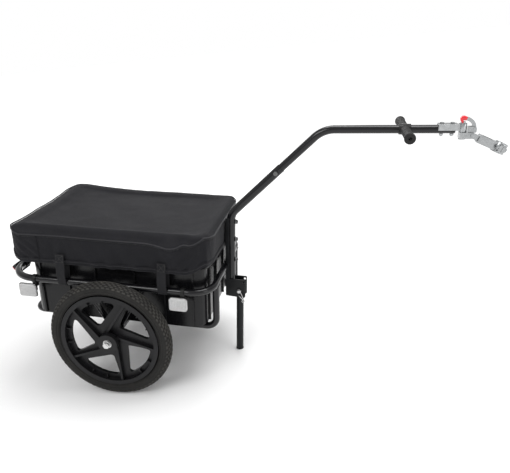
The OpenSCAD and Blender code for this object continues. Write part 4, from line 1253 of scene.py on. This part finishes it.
CAMERA_AT = (0.6684, -1.5486, 1.1324)       # metres; along X from the wheels' axle
CAMERA_TURN, CAMERA_DROP, CAMERA_ROLL = 0.1605, 0.3918, -0.0146     # radians
CAMERA_SENSOR, CAMERA_LENS = 36.0, 35.92                            # millimetres


class TRAILER_OT_stage(bpy.types.Operator):
    """The camera, the soft lights, and a pale floor that meets the tyres and the stand's foot"""
    bl_idname = "trailer.stage"
    bl_label = "Stage"

    def execute(self, context):
        scene = context.scene
        s = scene.trailer_stage
        cam = bpy.data.cameras.new("Camera")
        cam.sensor_width, cam.lens = CAMERA_SENSOR, CAMERA_LENS
        cam.clip_end = 60
        obj = linked("Camera", cam)
        turn, drop, roll = CAMERA_TURN, CAMERA_DROP, CAMERA_ROLL
        ahead = Vector((-math.sin(turn) * math.cos(drop), math.cos(turn) * math.cos(drop),
                        -math.sin(drop)))
        right = Vector((math.cos(turn), math.sin(turn), 0))
        down = ahead.cross(right)
        right, down = (right * math.cos(roll) + down * math.sin(roll),
                       down * math.cos(roll) - right * math.sin(roll))
        m = Matrix((right, -down, -ahead)).transposed().to_4x4()
        x, y, z = CAMERA_AT
        m.translation = Vector((x + AX, y, z))
        obj.matrix_world = m
        scene.camera = obj

        # the floor touches both tyres and the foot of the stand
        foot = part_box("stand_foot")
        reach = (foot[0].x + foot[1].x) / 2 - AX
        rise = WHEEL_R - foot[0].z
        far = math.hypot(reach, rise)
        tilt = math.asin(WHEEL_R / far) - math.atan2(rise, reach)
        normal = Vector((-math.sin(tilt), 0, math.cos(tilt)))
        touch = Vector((AX, 0, WHEEL_R)) - normal * WHEEL_R
        bm = bmesh.new()
        along = Vector((math.cos(tilt), 0, math.sin(tilt)))
        sides = 96
        rows = [[bm.verts.new(touch + along * math.cos(t) * r + Vector((0, math.sin(t) * r, 0)))
                 for t in (math.tau * k / sides for k in range(sides))] for r in (1.5, 4, 12, 45)]
        skin(bm, rows[::-1])
        bm.faces.new(rows[0])
        mat = bpy.data.materials.new("floor")
        mat.use_nodes = True
        g = Graph(mat.node_tree)
        shader = g.tree.nodes["Principled BSDF"]
        place = g.add("ShaderNodeTexCoord").outputs["Object"]
        n = g.add("ShaderNodeTexNoise", {"Vector": place, "Scale": 2.0, "Detail": 3.0}).outputs["Fac"]
        tone = g.blend(n, rgba(s.floor, 0.985), rgba(s.floor, 1.015))
        g.join(tone, shader.inputs["Base Color"])
        shader.inputs["Roughness"].default_value = 0.9
        shader.inputs["Specular IOR Level"].default_value = 0.1
        away = g.add("ShaderNodeVectorMath", {0: place}, operation="LENGTH").outputs["Value"]
        lift = g.blend(g.ramp(away, 1.0, 3.0), grey(0.0), grey(0.45))
        g.join(lift, shader.inputs["Emission Color"])
        shader.inputs["Emission Strength"].default_value = 1.0
        MATERIALS["floor"] = mat
        floor = piece("floor", bm, "floor")

        world = bpy.data.worlds.new("Studio")
        world.use_nodes = True
        w = Graph(world.node_tree)
        seen = w.add("ShaderNodeLightPath").outputs["Is Camera Ray"]
        strength = w.ramp(seen, 0.0, 1.0, s.sky, 1.0)
        back = w.tree.nodes["Background"]
        back.inputs["Color"].default_value = (1, 1, 1, 1)
        w.join(strength, back.inputs["Strength"])
        scene.world = world
        centre = (0.0, 0.0, 0.35)
        area_light("key", (-1.4, -2.2, 2.6), centre, (1.6, 1.0), 30)
        area_light("top", (0.2, 0.3, 2.9), centre, (2.2, 1.2), 52)
        area_light("side", (2.3, -1.2, 1.3), centre, (0.8, 1.2), 7)
        area_light("back", (-0.6, 2.6, 1.6), centre, (2.0, 0.8), 14)
        scene.view_settings.view_transform = "Standard"
        return {"FINISHED"}


class TRAILER_PT_panel(bpy.types.Panel):
    """Everything that the trailer is made of"""
    bl_idname = "TRAILER_PT_panel"
    bl_label = "Trailer"
    bl_space_type = "VIEW_3D"
    bl_region_type = "UI"
    bl_category = "Trailer"

    def draw(self, context):
        for step in STEPS:
            self.layout.operator(step.bl_idname)
        for name in SETTINGS:
            group = getattr(context.scene, name)
            box = self.layout.box()
            for key in group.bl_rna.properties.keys():
                if key not in ("rna_type", "name"):
                    box.prop(group, key)


STEPS = [TRAILER_OT_finishes, TRAILER_OT_cover, TRAILER_OT_straps, TRAILER_OT_tyres, TRAILER_OT_grips,
         TRAILER_OT_hook_cap, TRAILER_OT_clip, TRAILER_OT_reflectors, TRAILER_OT_welds,
         TRAILER_OT_edges, TRAILER_OT_stage]
SETTINGS = {"trailer_finish": FinishSettings, "trailer_cover": CoverSettings,
            "trailer_tread": TreadSettings, "trailer_stage": StageSettings}


def register():
    for kind in [*SETTINGS.values(), *STEPS, TRAILER_PT_panel]:
        bpy.utils.register_class(kind)
    for name, kind in SETTINGS.items():
        setattr(bpy.types.Scene, name, bpy.props.PointerProperty(type=kind))


def unregister():
    for name in SETTINGS:
        delattr(bpy.types.Scene, name)
    for kind in reversed([*SETTINGS.values(), *STEPS, TRAILER_PT_panel]):
        bpy.utils.unregister_class(kind)


def main():
    register()
    make_trees()
    for step in STEPS:
        area, name = step.bl_idname.split(".")
        getattr(getattr(bpy.ops, area), name)()


if __name__ == "__main__":
    main()
